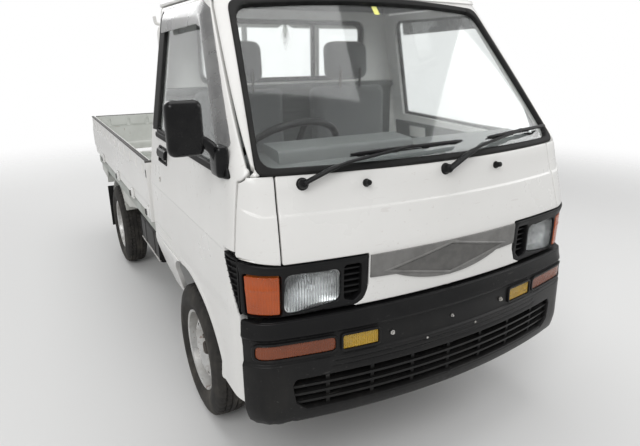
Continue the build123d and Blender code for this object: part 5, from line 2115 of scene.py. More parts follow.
@dataclass
class Door:
    """One cab door: pressed skin with its folded edges, seal, lining, handle, lock, visor and pane.

    The right one also carries the mirror.

    Attributes:
        side: Which side it hangs on.
        handle: y and z limits of the handle's housing.
        waist: Height of the pressed line below the handle.
        grooves: Heights of the grooves behind the wheel opening.
        visor: The visor's edge in (y, z).
    """

    side: Side
    handle: tuple[float, float, float, float] = (-0.704, -0.566, 1.000, 1.066)
    waist: float = 0.882
    grooves: Sequence[float] = (0.672, 0.684, 0.696)
    visor: Sequence[Point2] = (
        (-0.520, 1.500), (-0.520, 1.592), (-1.000, 1.594), (-1.064, 1.563), (-1.374, 1.178), (-1.336, 1.152),
        (-1.054, 1.502), (-1.004, 1.514),
    )

    @property
    def body(self) -> str:
        """The CAD body that the door's pieces move with."""
        return f"door_{self.side.word}"

    def build(self) -> None:
        """Builds and dresses the door."""
        self.put("skin", self.skin(), (BODY_PAINT, BODY_PAINT), self.body)
        self.put("seal", self.seal(), (RUBBER, RUBBER))
        self.put("lining", self.lining(), (LINING_GREY, LINING_GREY))
        self.put("handle", self.grip(), (TRIM_BLACK, TRIM_BLACK), f"{self.body}_fittings")
        self.put("lock", self.lock(), (BRIGHT_STEEL,))
        self.put("visor", self.shade(), (SMOKED, SMOKED))
        self.put("pane", self.pane(), (GLASS, GLASS), f"{self.body}_glass")
        if self.side is Side.RIGHT:
            self.mirror()

    def put(self, part: str, bm: bmesh.types.BMesh, finishes: Sequence[Finish], *stands_for: str) -> None:
        """Makes a piece of the door from a left-hand mesh."""
        piece(f"{self.body}_{part}", sided(bm, self.side), finishes, stands_for, self.body)

    def relief(self, u: float, v: float, at: Vector) -> float:
        """The pressed line, the handle's recess and the lip round the wheel opening."""
        y, z = at.y, at.z
        stand = -0.003 * smooth_step(z, self.waist + 0.004, self.waist - 0.003) * smooth_step(z, 0.60, 0.80)
        y0, y1, z0, z1 = self.handle
        inside_y = smooth_step(y, y0 - 0.002, y0 + 0.006) * smooth_step(y, y1 + 0.002, y1 - 0.006)
        inside_z = smooth_step(z, z0 - 0.002, z0 + 0.006) * smooth_step(z, z1 + 0.002, z1 - 0.006)
        stand -= 0.010 * inside_y * inside_z
        if z < 0.70 and y < -0.84:
            stand -= 0.0035 * smooth_step(near_line((y, z), ARCH), *LIP_REACH)
        for line_z in self.grooves:
            stand -= 0.0028 * math.exp(-(((z - line_z) / 0.0022) ** 2)) * smooth_step(y, -0.73, -0.70)
        return stand

    def skin(self) -> bmesh.types.BMesh:
        """The outer skin, hemmed round the window and at the shut lines."""
        y0, y1, z0, z1 = self.handle
        lines = [([CAB.side(y, self.waist) for y in np.linspace(-1.394, -0.428, 40)], 0.005)]
        lines += [(CAB.sides(trace([(y0, z0), (y1, z0), (y1, z1), (y0, z1)], 0.01)), 0.004)]
        lines += [(CAB.sides((y + 0.004, z + 0.022) for y, z in ARCH[2:-1]), 0.004)]
        lines += [([CAB.side(y, z) for y in np.linspace(-0.72, -0.43, 20)], 0.003) for z in self.grooves]
        sheet = Sheet(CAB.at, CAB.sides(DOOR_EDGE), [CAB.sides(WINDOW_EDGE)], thick=0.030, roll=0.0042, pitch=0.021)
        sheet.relief, sheet.guides = self.relief, lines
        return sheet.build()

    def pane(self) -> bmesh.types.BMesh:
        """The window's glass."""
        edge = CAB.sides(grown(WINDOW_EDGE, 0.004))
        return Sheet(CAB.at, edge, thick=0.004, roll=0.0005, pitch=0.04, lift=-0.009).build()

    def seal(self) -> bmesh.types.BMesh:
        """The black channel round the glass and the moulding along its lower edge."""
        ring, hole = CAB.sides(grown(WINDOW_EDGE, 0.003)), CAB.sides(grown(WINDOW_EDGE, -0.012))
        bm = Sheet(CAB.at, ring, [hole], thick=0.018, roll=0.004, pitch=0.014, lift=0.002).build()
        sash = CAB.sides(
            trace([(-0.511, 1.120), (-0.432, 1.116), (-0.432, 1.560), (-0.470, 1.590), (-0.511, 1.560)], 0.02)
        )
        Sheet(CAB.at, sash, thick=0.004, roll=0.0015, pitch=0.03, lift=0.0012).build(bm)
        low = CAB.sides(trace([(-1.366, 1.086), (-0.505, 1.092), (-0.505, 1.112), (-1.366, 1.108)], 0.014))
        Sheet(CAB.at, low, thick=0.012, roll=0.004, pitch=0.014, lift=0.005).build(bm)
        return bm

    def lining(self) -> bmesh.types.BMesh:
        """The inside lining with its armrest, pull and winder."""
        corners = [
            (-0.455, 0.670), (-0.455, 1.080), (-1.372, 1.072), (-1.440, 0.900), (-1.380, 0.700), (-0.90, 0.670),
        ]
        bm = Sheet(CAB.at, CAB.sides(trace(corners, 0.03)), thick=0.009, roll=0.002, pitch=0.05, lift=-0.0305).build()
        slab(bm, (0.600, -1.06, 0.905), (0.660, -0.72, 0.955), 0.014)
        slab(bm, (0.622, -1.28, 0.975), (0.652, -1.20, 0.995), 0.006)
        boss = [(0, 0), (0, 0.024), (0.012, 0.022), (0.020, 0.016), (0.022, 0)]
        lathe(bm, boss, Matrix.Translation((0.652, -1.02, 0.81)) @ Matrix.Rotation(math.pi, 4, "Z"), 20)
        tube(bm, [(0.636, -1.02, 0.81), (0.630, -1.08, 0.835), (0.628, -1.10, 0.84)], 0.007, 8)
        return bm

    def grip(self) -> bmesh.types.BMesh:
        """The handle in its housing and the sail plate before the window."""
        y0, y1, z0, z1 = self.handle
        frame_edge = CAB.sides(rounded([(y0, z0), (y1, z0), (y1, z1), (y0, z1)], 0.010))
        a, b, c, d = y0 + 0.007, y1 - 0.007, z0 + 0.006, z1 - 0.006
        hole = CAB.sides(rounded([(a, c), (b, c), (b, d), (a, d)], 0.008))
        bm = Sheet(CAB.at, frame_edge, [hole], thick=0.012, roll=0.002, pitch=0.01, lift=0.003).build()
        spots = [(1.022, 0.001), (1.022, 0.010), (1.034, 0.0135), (1.052, 0.0125), (1.058, 0.006), (1.056, 0.0)]
        band(bm, CAB, spots, CAB.side, np.linspace(y0 + 0.010, y1 - 0.010, 12))
        sail = CAB.sides(rounded([(-1.420, 1.092, 0.01), (-1.340, 1.082, 0.02), (-1.262, 1.262, 0.008)], 0.008))
        Sheet(CAB.at, sail, thick=0.012, roll=0.004, pitch=0.014, lift=0.008).build(bm)
        return bm

    def lock(self) -> bmesh.types.BMesh:
        """The key's cylinder below the handle."""
        bm = bmesh.new()
        spot = CAB.side(-0.600, 0.929)
        at, out = CAB.at(*spot), CAB.normal(*spot)
        barrel = [(0, 0), (0, 0.012), (0.004, 0.0118), (0.0055, 0.010), (0.0055, 0.0075), (0.004, 0.007), (0.004, 0)]
        lathe(bm, barrel, facing(at - out * 0.003, out), 24)
        slab(bm, at + Vector((0.0005, -0.0012, -0.005)), at + Vector((0.0022, 0.0012, 0.005)), 0)
        return bm

    def shade(self) -> bmesh.types.BMesh:
        """The smoked rain visor over the window's top and front edge."""
        edge = CAB.sides(rounded(self.visor, 0.012))
        root = trace(self.visor[1:5], 0.02, close=False)

        def relief(u: float, v: float, at: Vector) -> float:
            return 0.0155 * math.sin(min(1.0, near_line((at.y, at.z), root) / 0.045) * math.pi / 2)

        return Sheet(CAB.at, edge, thick=0.0022, roll=0.0009, pitch=0.012, lift=0.001, relief=relief).build()

    def mirror(self) -> None:
        """The right door's mirror on its arm. The left one is missing, as its place is bare."""
        bm = bmesh.new()
        rounded_box(bm, (-0.813, -1.380, 1.157), (-0.712, -1.330, 1.309), 0.020, dome=0.006)
        rounded_box(bm, (-0.690, -1.396, 1.090), (-0.650, -1.322, 1.182), 0.014)
        arm = bend([(-0.674, -1.362, 1.140), (-0.690, -1.360, 1.178), (-0.736, -1.356, 1.208)], 0.03)
        tube(bm, arm, 0.0165, 14)
        piece("mirror_housing", bm, (GLOSS_BLACK,), body=self.body, sharp=50)
        glass = bmesh.new()
        rounded_box(glass, (-0.804, -1.334, 1.168), (-0.721, -1.3275, 1.298), 0.004, 0.016)
        piece("mirror_glass", glass, (MIRROR_GLASS,), body=self.body)


def rounded_box(
    bm: bmesh.types.BMesh, low: Sequence[float], high: Sequence[float], soft: float, corner: Optional[float] = None,
    dome: float = 0.0
) -> None:
    """Adds a box with round edges: corners in the (x, z) view by one radius, the rest by another.

    Args:
        bm: The mesh to add to.
        low: Its lowest corner.
        high: Its highest corner.
        soft: Radius of the front and back edges.
        corner: Radius of the corners seen along Y, the same if left out.
        dome: How far the front and the back bulge.
    """
    low, high = Vector(low), Vector(high)
    corner = max(corner or soft * 1.2, soft)
    outline = rounded([(low.x, low.z), (high.x, low.z), (high.x, high.z), (low.x, high.z)], corner, 0.006)
    turns = np.linspace(0, math.pi / 2, 6)
    rings = [(low.y + soft * (1 - math.cos(t)), soft * (1 - math.sin(t))) for t in turns]
    rings += [(high.y - (y - low.y), inset) for y, inset in reversed(rings)]
    loops = [[Vector((x, y, z)) for x, z in grown(outline, -inset)] for y, inset in rings]
    middle = (low + high) / 2

    def shrunk(loop: Sequence[Vector], share: float, way: float) -> list[Vector]:
        bulge = way * dome * (1 - share**2)
        return [
            Vector((middle.x + (p.x - middle.x) * share, p.y + bulge, middle.z + (p.z - middle.z) * share))
            for p in loop
        ]

    shares = (0.1, 0.3, 0.55, 0.8)
    loops = [shrunk(loops[0], s, -1) for s in shares] + loops + [shrunk(loops[-1], s, 1) for s in reversed(shares)]
    verts = [[bm.verts.new(p) for p in loop] for loop in loops]
    count = len(outline)
    for a, b in zip(verts, verts[1:]):
        for i in range(count):
            bm.faces.new([a[i], a[(i + 1) % count], b[(i + 1) % count], b[i]])
    bm.faces.new(verts[0][::-1])
    bm.faces.new(verts[-1])


# ---- Inside the cab ----


@dataclass
class Seats:
    """The two seats: stuffed cushions, backs and headrests, with their runners.

    Attributes:
        middles: x of each seat.
        cushion: Low and high corner of a cushion about its middle.
        back: The same for a back, upright.
        rest: The same for a headrest.
        lean: How far the backs lean, in degrees.
        hinge: Where the backs turn, seen along X.
        swell: The farthest that the cloth may move.
        cloth: The cloth's settings.
        frames: For how many frames it is blown up.
    """

    middles: tuple[float, float] = (-0.290, 0.268)
    cushion: tuple[tuple[float, ...], tuple[float, ...]] = ((-0.232, -1.070, 0.735), (0.232, -0.590, 0.846))
    back: tuple[tuple[float, ...], tuple[float, ...]] = ((-0.222, -0.618, 0.80), (0.222, -0.508, 1.296))
    rest: tuple[tuple[float, ...], tuple[float, ...]] = ((-0.128, -0.600, 1.290), (0.128, -0.520, 1.486))
    lean: float = 5.0
    hinge: tuple[float, float, float] = (0, -0.56, 0.80)
    swell: float = 0.018
    cloth: Sequence[tuple[str, float]] = (
        ("use_pressure", True), ("uniform_pressure_force", 4), ("tension_stiffness", 25), ("bending_stiffness", 4),
        ("mass", 0.25),
    )
    frames: int = 20

    def build(self) -> None:
        """Builds and dresses the seats."""
        for name, box, fill in (
            ("cushion", self.cushion, 0.75), ("back", self.back, 0.75), ("rest", self.rest, 0.85)
        ):
            made = self.stuffed(f"seat_{name}_right", *box, leans=name != "cushion")
            self.finish(made, self.middles[0], fill)
            self.finish(linked(f"seat_{name}_left", made.data), self.middles[1], fill)
        bm = bmesh.new()
        for x in self.middles:
            for side in (-0.17, 0.17):
                slab(bm, (x + side - 0.018, -1.02, 0.7215), (x + side + 0.018, -0.56, 0.742), 0.004)
            for post in (-0.055, 0.055):
                tube(bm, [(x + post, -0.553, 1.262), (x + post, -0.556, 1.350)], 0.006, 10)
        piece("seat_runners", bm, (CHASSIS_BLACK,))

    def finish(self, made: bpy.types.Object, x: float, fill: float) -> None:
        """Puts a cushion in place, hides the CAD seats and logs its face count."""
        made.location.x = x
        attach(made, CHASSIS)
        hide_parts("seats")
        LOG.info("%s: %d faces", made.name, len(made.data.polygons))

    def stuffed(self, name: str, low: Sequence[float], high: Sequence[float], leans: bool) -> bpy.types.Object:
        """A cushion blown up as cloth from a soft-edged box.

        Args:
            name: The piece's name.
            low: Its lowest corner.
            high: Its highest corner.
            leans: Whether it leans back.

        Returns:
            The object, at the middle of the truck.
        """
        bm = bmesh.new()
        inset = Vector((0.012, 0.010, 0.010))
        rounded_box(bm, Vector(low) + inset, Vector(high) - inset, 0.026, 0.045)
        made = linked(name, as_mesh(name, bm))
        bpy.context.view_layer.objects.active = made
        remesh = made.modifiers.new("cells", "REMESH")
        remesh.mode, remesh.voxel_size = "VOXEL", 0.012
        self.apply(made)
        cloth = made.modifiers.new("cloth", "CLOTH")
        cloth.settings.effector_weights.gravity = 0
        for label, value in self.cloth:
            setattr(cloth.settings, label, value)
        cloth.point_cache.frame_start, cloth.point_cache.frame_end = 1, self.frames
        before = [v.co.copy() for v in made.data.vertices]
        for step in range(1, self.frames + 1):
            bpy.context.scene.frame_set(step)
        self.apply(made)
        bpy.context.scene.frame_set(1)
        low, high = Vector(low), Vector(high)
        for vert, was in zip(made.data.vertices, before):
            move = vert.co - was
            if move.length > self.swell:
                vert.co = was + move.normalized() * self.swell
            vert.co = Vector(min(max(c, a), b) for c, a, b in zip(vert.co, low, high))
        divide = made.modifiers.new("smooth", "SUBSURF")
        divide.levels = divide.render_levels = 1
        self.apply(made)
        if leans:
            turn = Matrix.Rotation(-math.radians(self.lean), 4, "X")
            hinge = Vector(self.hinge)
            made.data.transform(Matrix.Translation(hinge) @ turn @ Matrix.Translation(-hinge))
        for polygon in made.data.polygons:
            polygon.use_smooth = True
        made.data.materials.append(SEAT_CLOTH.material())
        return made

    def apply(self, made: bpy.types.Object) -> None:
        """Turns the modified mesh into the object's own."""
        graph = bpy.context.evaluated_depsgraph_get()
        mesh = bpy.data.meshes.new_from_object(made.evaluated_get(graph))
        made.modifiers.clear()
        made.data = mesh


@dataclass
class Dashboard:
    """The dashboard with its instrument hood, vents, glovebox and column shroud.

    Attributes:
        half: Half its width.
        section: Its section in (y, z).
        hood: The instrument hood's section in (y, z).
    """

    half: float = 0.580
    section: Sequence[Point2] = (
        (-1.425, 0.885), (-1.425, 1.104), (-1.262, 1.126), (-1.234, 1.092), (-1.262, 0.962), (-1.328, 0.885),
    )
    hood: Sequence[Point2] = ((-1.390, 1.085), (-1.375, 1.148), (-1.262, 1.157), (-1.230, 1.122), (-1.240, 1.085))

    def build(self) -> None:
        """Builds and dresses the dashboard."""
        bm = bmesh.new()
        prism(bm, rounded(self.section, 0.016, 0.006), along_x, -self.half, self.half)
        prism(bm, rounded(self.hood, 0.014, 0.006), along_x, -0.495, 0.005)
        slab(bm, (0.10, -1.262, 0.985), (0.50, -1.243, 1.062), 0.006, turn=Matrix.Rotation(-0.20, 4, "X"))
        piece("dash_moulding", bm, (DASH_GREY,), ("dashboard",), sharp=40)
        trim = bmesh.new()
        for x in (-0.52, 0.055, 0.53):
            for row in range(4):
                slab(trim, (x - 0.04, -1.262, 1.040 + row * 0.011), (x + 0.04, -1.236, 1.044 + row * 0.011), 0.001)
        slab(trim, (-0.43, -1.250, 1.094), (-0.12, -1.229, 1.138), 0.004)
        slab(trim, (-0.02, -1.272, 0.972), (0.08, -1.246, 1.022), 0.004)
        shroud = [(-0.32, -1.105, 1.058), (-0.32, -1.20, 0.942), (-0.32, -1.262, 0.872)]
        tube(trim, shroud, [0.044, 0.050, 0.046], 20)
        for root, tip in ((-0.36, -0.47), (-0.28, -0.17)):
            tube(trim, [(root, -1.135, 1.022), (tip, -1.120, 1.050)], 0.006, 8)
        piece("dash_trim", trim, (TRIM_BLACK,))


@dataclass
class SteeringWheel:
    """The steering wheel: moulded rim with finger grips, three dished spokes and the pad.

    Attributes:
        centre: The middle of the rim.
        tilt: How far its axis is turned up from level, in degrees.
        rim: Radius of the rim.
        tube_r: Radius of its section.
        spokes: Where the spokes point, in degrees.
    """

    centre: tuple[float, float, float] = (-0.32, -1.08, 1.09)
    tilt: float = 50.0
    rim: float = 0.180
    tube_r: float = 0.0125
    spokes: Sequence[float] = (110, 250, 0)

    def build(self) -> None:
        """Builds and dresses the wheel."""
        axis = Vector((0, math.cos(math.radians(self.tilt)), math.sin(math.radians(self.tilt))))
        across = Vector((1, 0, 0))
        turned = Matrix((axis, across, axis.cross(across))).transposed().to_4x4()
        frame_at = Matrix.Translation(self.centre) @ turned
        bm = bmesh.new()
        count, sides, grips = 96, 14, 24
        rings = []
        for k in range(count):
            swell = 1 + 0.06 * math.cos(k * 2 * math.pi / count * grips)
            turn = Matrix.Rotation(2 * math.pi * k / count, 4, "X")
            ring = []
            for i in range(sides):
                a = 2 * math.pi * i / sides
                local = Vector((self.tube_r * swell * math.sin(a), 0, self.rim + self.tube_r * swell * math.cos(a)))
                ring.append(bm.verts.new(frame_at @ (turn @ local)))
            rings.append(ring)
        for a, b in zip(rings, rings[1:] + rings[:1]):
            for i in range(sides):
                bm.faces.new([a[i], b[i], b[(i + 1) % sides], a[(i + 1) % sides]])
        pad = [(-0.052, 0), (-0.052, 0.040), (-0.030, 0.046), (-0.014, 0.044), (-0.008, 0.036), (-0.006, 0)]
        lathe(bm, pad, frame_at, 32)
        for angle in self.spokes:
            way = Vector((0, math.sin(math.radians(angle)), -math.cos(math.radians(angle))))
            path = [
                Vector((-0.024, 0, 0)) + way * 0.03, Vector((-0.020, 0, 0)) + way * 0.09, way * (self.rim - 0.004)
            ]
            tube(bm, [frame_at @ p for p in bend(path, 0.05)], [0.017] * 4 + [0.012] * 5, 12, flat=0.5)
        piece("steering_wheel_rim", bm, (TRIM_BLACK,), ("steering_wheel",), STEERING)


# ---- The bed ----


@dataclass
class Gate:
    """A drop gate of the bed: pressed sheet, dark worn rail along its top, upright ribs, hinges and rope hooks.

    Attributes:
        name: The gate's node and body.
        length: Where it starts and ends along its run.
        place: Carries (along, height, depth in from the outer face) into the truck.
        hinges: Where its hinges are along the run.
        ribs: How many upright ribs it has.
        flip: Whether its outside is on the other side of the run.
        low_z: Its lower edge.
        rail_z: The lower edge of the rail.
        top_z: The top of the rail.
        rib_inset: How far the first and the last rib stand from the gate's ends.
    """

    name: str
    length: tuple[float, float]
    place: Callable[[float, float, float], Vector]
    hinges: Sequence[float]
    ribs: int
    flip: bool = False
    low_z: float = 0.692
    rail_z: float = 0.957
    top_z: float = 0.965
    rib_inset: float = 0.09

    @property
    def pitch(self) -> float:
        """The distance between ribs."""
        start, end = self.length
        return (end - start - 2 * self.rib_inset) / (self.ribs - 1)

    def depth(self, u: float, v: float) -> float:
        """How far the pressed face lies in at a place."""
        steps = ((0.692, 0.009), (0.741, 0.009), (0.752, 0.002), (0.880, 0.002), (0.891, 0.008), (0.94, 0.008))
        deep = eased(steps, v, (-0.003, 0, 0.003))
        near = abs((u - self.length[0] - self.rib_inset + self.pitch / 2) % self.pitch - self.pitch / 2)
        rib = smooth_step(near, 0.013, 0.009) * smooth_step(v, 0.882, 0.890) * smooth_step(v, 0.938, 0.930)
        return deep - 0.0065 * rib

    def build(self) -> None:
        """Builds and dresses the gate."""
        start, end = self.length
        under = self.rail_z + 0.004
        edge = trace([(start, self.low_z), (end, self.low_z), (end, under), (start, under)], 0.02)
        lines = [([(start + 0.004, z), (end - 0.004, z)], 0.006) for z in (0.7465, 0.8855)]
        for k in range(self.ribs):
            for side in (-0.011, 0.011):
                x = start + self.rib_inset + k * self.pitch + side
                lines.append(([(x, 0.894), (x, 0.929)], 0.0025))
        sheet = Sheet(
            lambda u, v: self.place(u, v, 0.0), edge, thick=0.022, pitch=0.028, guides=lines, flip=self.flip
        )
        sheet.relief = lambda u, v, _: -self.depth(u, v)
        piece(f"{self.name}_sheet", sheet.build(), (BODY_PAINT, BED_PAINT), (self.name,), self.name)
        self.rail()
        self.fittings()

    def boxed(self, bm: bmesh.types.BMesh, low: Sequence[float], high: Sequence[float], soft: float) -> None:
        """Adds a block given in the gate's own (along, height, depth)."""
        a, b = self.place(*low), self.place(*high)
        slab(bm, [min(p) for p in zip(a, b)], [max(p) for p in zip(a, b)], soft)

    def rail(self) -> None:
        """The dark rail along the top, with its end caps."""
        bm = bmesh.new()
        start, end = self.length
        self.boxed(bm, (start, self.rail_z, 0.006), (end, self.top_z, 0.0225), 0.0025)
        piece(f"{self.name}_rail", bm, (WORN_RAIL,), body=self.name)

    def fittings(self) -> None:
        """Hinge straps, pins and the rope hooks under the lower edge."""
        straps, hooks = bmesh.new(), bmesh.new()
        for at in self.hinges:
            self.boxed(straps, (at - 0.028, 0.688, 0.0004), (at + 0.028, 0.735, 0.009), 0.003)
            for bolt in (-0.015, 0.015):
                self.boxed(straps, (at + bolt - 0.006, 0.712, 0.0001), (at + bolt + 0.006, 0.724, 0.004), 0.002)
            tube(straps, [self.place(at - 0.026, 0.684, 0.0065), self.place(at + 0.026, 0.684, 0.0065)], 0.0060, 14)
            spot = at + 0.055
            path = [(spot, 0.700, 0.012), (spot, 0.700, 0.004), (spot, 0.688, 0.001), (spot, 0.678, 0.006)]
            tube(hooks, bend([self.place(*p) for p in path], 0.006), 0.0048, 10)
            loop = ((-0.016, 0.704), (-0.014, 0.690), (0.014, 0.690), (0.016, 0.704))
            tube(hooks, bend([self.place(spot + d, z, 0.004) for d, z in loop], 0.012), 0.0045, 10)
        piece(f"{self.name}_hinges", straps, (BODY_PAINT,), body=self.name)
        piece(f"{self.name}_hooks", hooks, (WORN_RAIL,), body=self.name)


@dataclass
class Bed:
    """The load bed: three drop gates, the front wall with its guard frame, and the catches.

    Attributes:
        side_run: Where the side gates start and end.
        side_hinges: Where their hinges are.
        tail_half: Half the tail gate's width.
        front_y: The front wall's front face.
        wall: The front wall's thickness.
        guard: Height and half width of the guard frame.
        corner_x: Inner and outer x of the front wall's corner posts.
        foot_z: Where the guard frame's tubes start.
        rib_pitch: The distance between the front wall's ribs.
    """

    side_run: tuple[float, float] = (-0.338, 1.6475)
    side_hinges: Sequence[float] = (-0.300, 0.116, 0.594, 1.238)
    tail_half: float = 0.6625
    front_y: float = -0.372
    wall: float = 0.026
    guard: tuple[float, float] = (1.548, 0.572)
    corner_x: tuple[float, float] = (0.650, 0.697)
    foot_z: float = 0.950
    rib_pitch: float = 0.115

    def gates(self) -> list[Gate]:
        """The three gates."""

        def on_left(u: float, v: float, depth: float) -> Vector:
            return Vector((HALF_WIDTH - depth, u, v))

        def on_right(u: float, v: float, depth: float) -> Vector:
            return Vector((-HALF_WIDTH + depth, u, v))

        def behind(u: float, v: float, depth: float) -> Vector:
            return Vector((u, TAIL_Y - depth, v))

        return [
            Gate("side_gate_left", self.side_run, on_left, self.side_hinges, 12),
            Gate("side_gate_right", self.side_run, on_right, self.side_hinges, 12, flip=True),
            Gate("tail_gate", (-self.tail_half, self.tail_half), behind, (-0.52, 0.0, 0.52), 9, flip=True),
        ]

    def build(self) -> None:
        """Builds and dresses the bed."""
        for gate in self.gates():
            gate.build()
        self.headboard()
        self.latches()

    def headboard(self) -> None:
        """The bed's front wall, its worn rail and the tubes above it."""
        bm, rail = bmesh.new(), bmesh.new()
        y0, y1 = self.front_y, self.front_y + self.wall
        slab(bm, (-0.655, y0 + 0.004, 0.658), (0.655, y1 - 0.004, 0.957), 0.003)
        for k in range(-5, 6):
            x = k * self.rib_pitch
            slab(bm, (x - 0.022, y0, 0.70), (x + 0.022, y1, 0.90), 0.006)
        for side in (-1, 1):
            low, high = sorted(side * x for x in self.corner_x)
            slab(bm, (low, y0 - 0.002, 0.676), (high, y1 + 0.002, 0.957), 0.004)
        end = self.corner_x[1]
        slab(rail, (-end, y0 + 0.002, 0.955), (end, y1 - 0.002, 0.965), 0.003)
        middle_y = (y0 + y1) / 2
        top, out = self.guard
        foot = self.foot_z
        hoop = [(-out, middle_y, foot), (-out, middle_y, top), (out, middle_y, top), (out, middle_y, foot)]
        tube(bm, bend(hoop, 0.05), 0.0138, 18)
        for x in (-0.190, 0.190):
            tube(bm, [(x, middle_y, foot), (x, middle_y, top)], 0.0130, 16)
        tube(bm, [(-out, middle_y, 1.250), (out, middle_y, 1.250)], 0.0125, 16)
        for side in (-1, 1):
            x = side * (out + 0.016)
            horn = [
                (side * out, middle_y, top - 0.004), (x, middle_y, top - 0.002),
                (x + side * 0.004, middle_y, top + 0.026)
            ]
            tube(bm, bend(horn, 0.01), 0.0068, 10)
        piece("bed_front_wall", bm, (BODY_PAINT,), ("headboard",))
        piece("bed_front_rail", rail, (WORN_RAIL,))

    def latches(self) -> None:
        """The catches that hold the gates at their corners."""
        bm = bmesh.new()
        for side in (-1, 1):
            low, high = sorted((side * 0.6925, side * 0.6970))
            slab(bm, (low, -0.366, 0.885), (high, -0.343, 0.925), 0.002)
        piece("gate_catches", bm, (WORN_RAIL,))


# ---- Wheels ----


TYRE_HALF = (
    (0.0, 0.0), (0.0085, 0.0), (0.0095, 0.0062), (0.0145, 0.0062), (0.0155, 0.0), (0.031, 0.0006),
    (0.032, 0.0066), (0.0365, 0.0068), (0.0375, 0.0012), (0.0500, 0.0035), (0.0560, 0.0085), (0.0610, 0.0165),
    (0.0660, 0.030), (0.0695, 0.044), (0.0702, 0.0455), (0.0722, 0.0565), (0.0720, 0.068), (0.0702, 0.078),
    (0.0690, 0.0795), (0.0650, 0.090), (0.0595, 0.099), (0.0560, 0.1045), (0.0540, 0.1065), (0.0500, 0.1140),
)
"""Half the tyre's section: how far out it lies, and how far in from the tread's radius."""
WELL_PROFILE = (
    (-0.0570, 0.1655), (-0.0535, 0.1665), (-0.0515, 0.1640), (-0.0505, 0.1585), (-0.036, 0.1555),
    (-0.026, 0.1440), (0.004, 0.1440), (0.016, 0.1550), (0.0505, 0.1585), (0.0515, 0.1640), (0.0535, 0.1665),
    (0.0570, 0.1655), (0.0570, 0.1625), (0.0535, 0.1560), (0.018, 0.1520), (0.006, 0.1410), (-0.028, 0.1410),
    (-0.038, 0.1525), (-0.0535, 0.1560), (-0.0570, 0.1625),
)
"""The rim's closed section: how far out it lies, and its radius."""
DISC_PROFILE = (
    (0.0, 0.026), (0.030, 0.026), (0.036, 0.018), (0.060, 0.018), (0.070, 0.022), (0.086, 0.040), (0.100, 0.042),
    (0.114, 0.036), (0.128, 0.016), (0.1405, 0.0040),
)
"""The pressed disc: radius, and how far out it lies."""
NUT_PROFILE = (
    (0, 0), (0, 0.0125), (0.002, 0.0125), (0.004, 0.0105), (0.010, 0.0100), (0.012, 0.008), (0.012, 0.0),
)
STUD_PROFILE = ((0.0115, 0), (0.0115, 0.0052), (0.016, 0.0050), (0.017, 0.0))
HUB_PROFILE = ((0.020, 0), (0.020, 0.0285), (0.030, 0.0275), (0.036, 0.024), (0.038, 0.0))


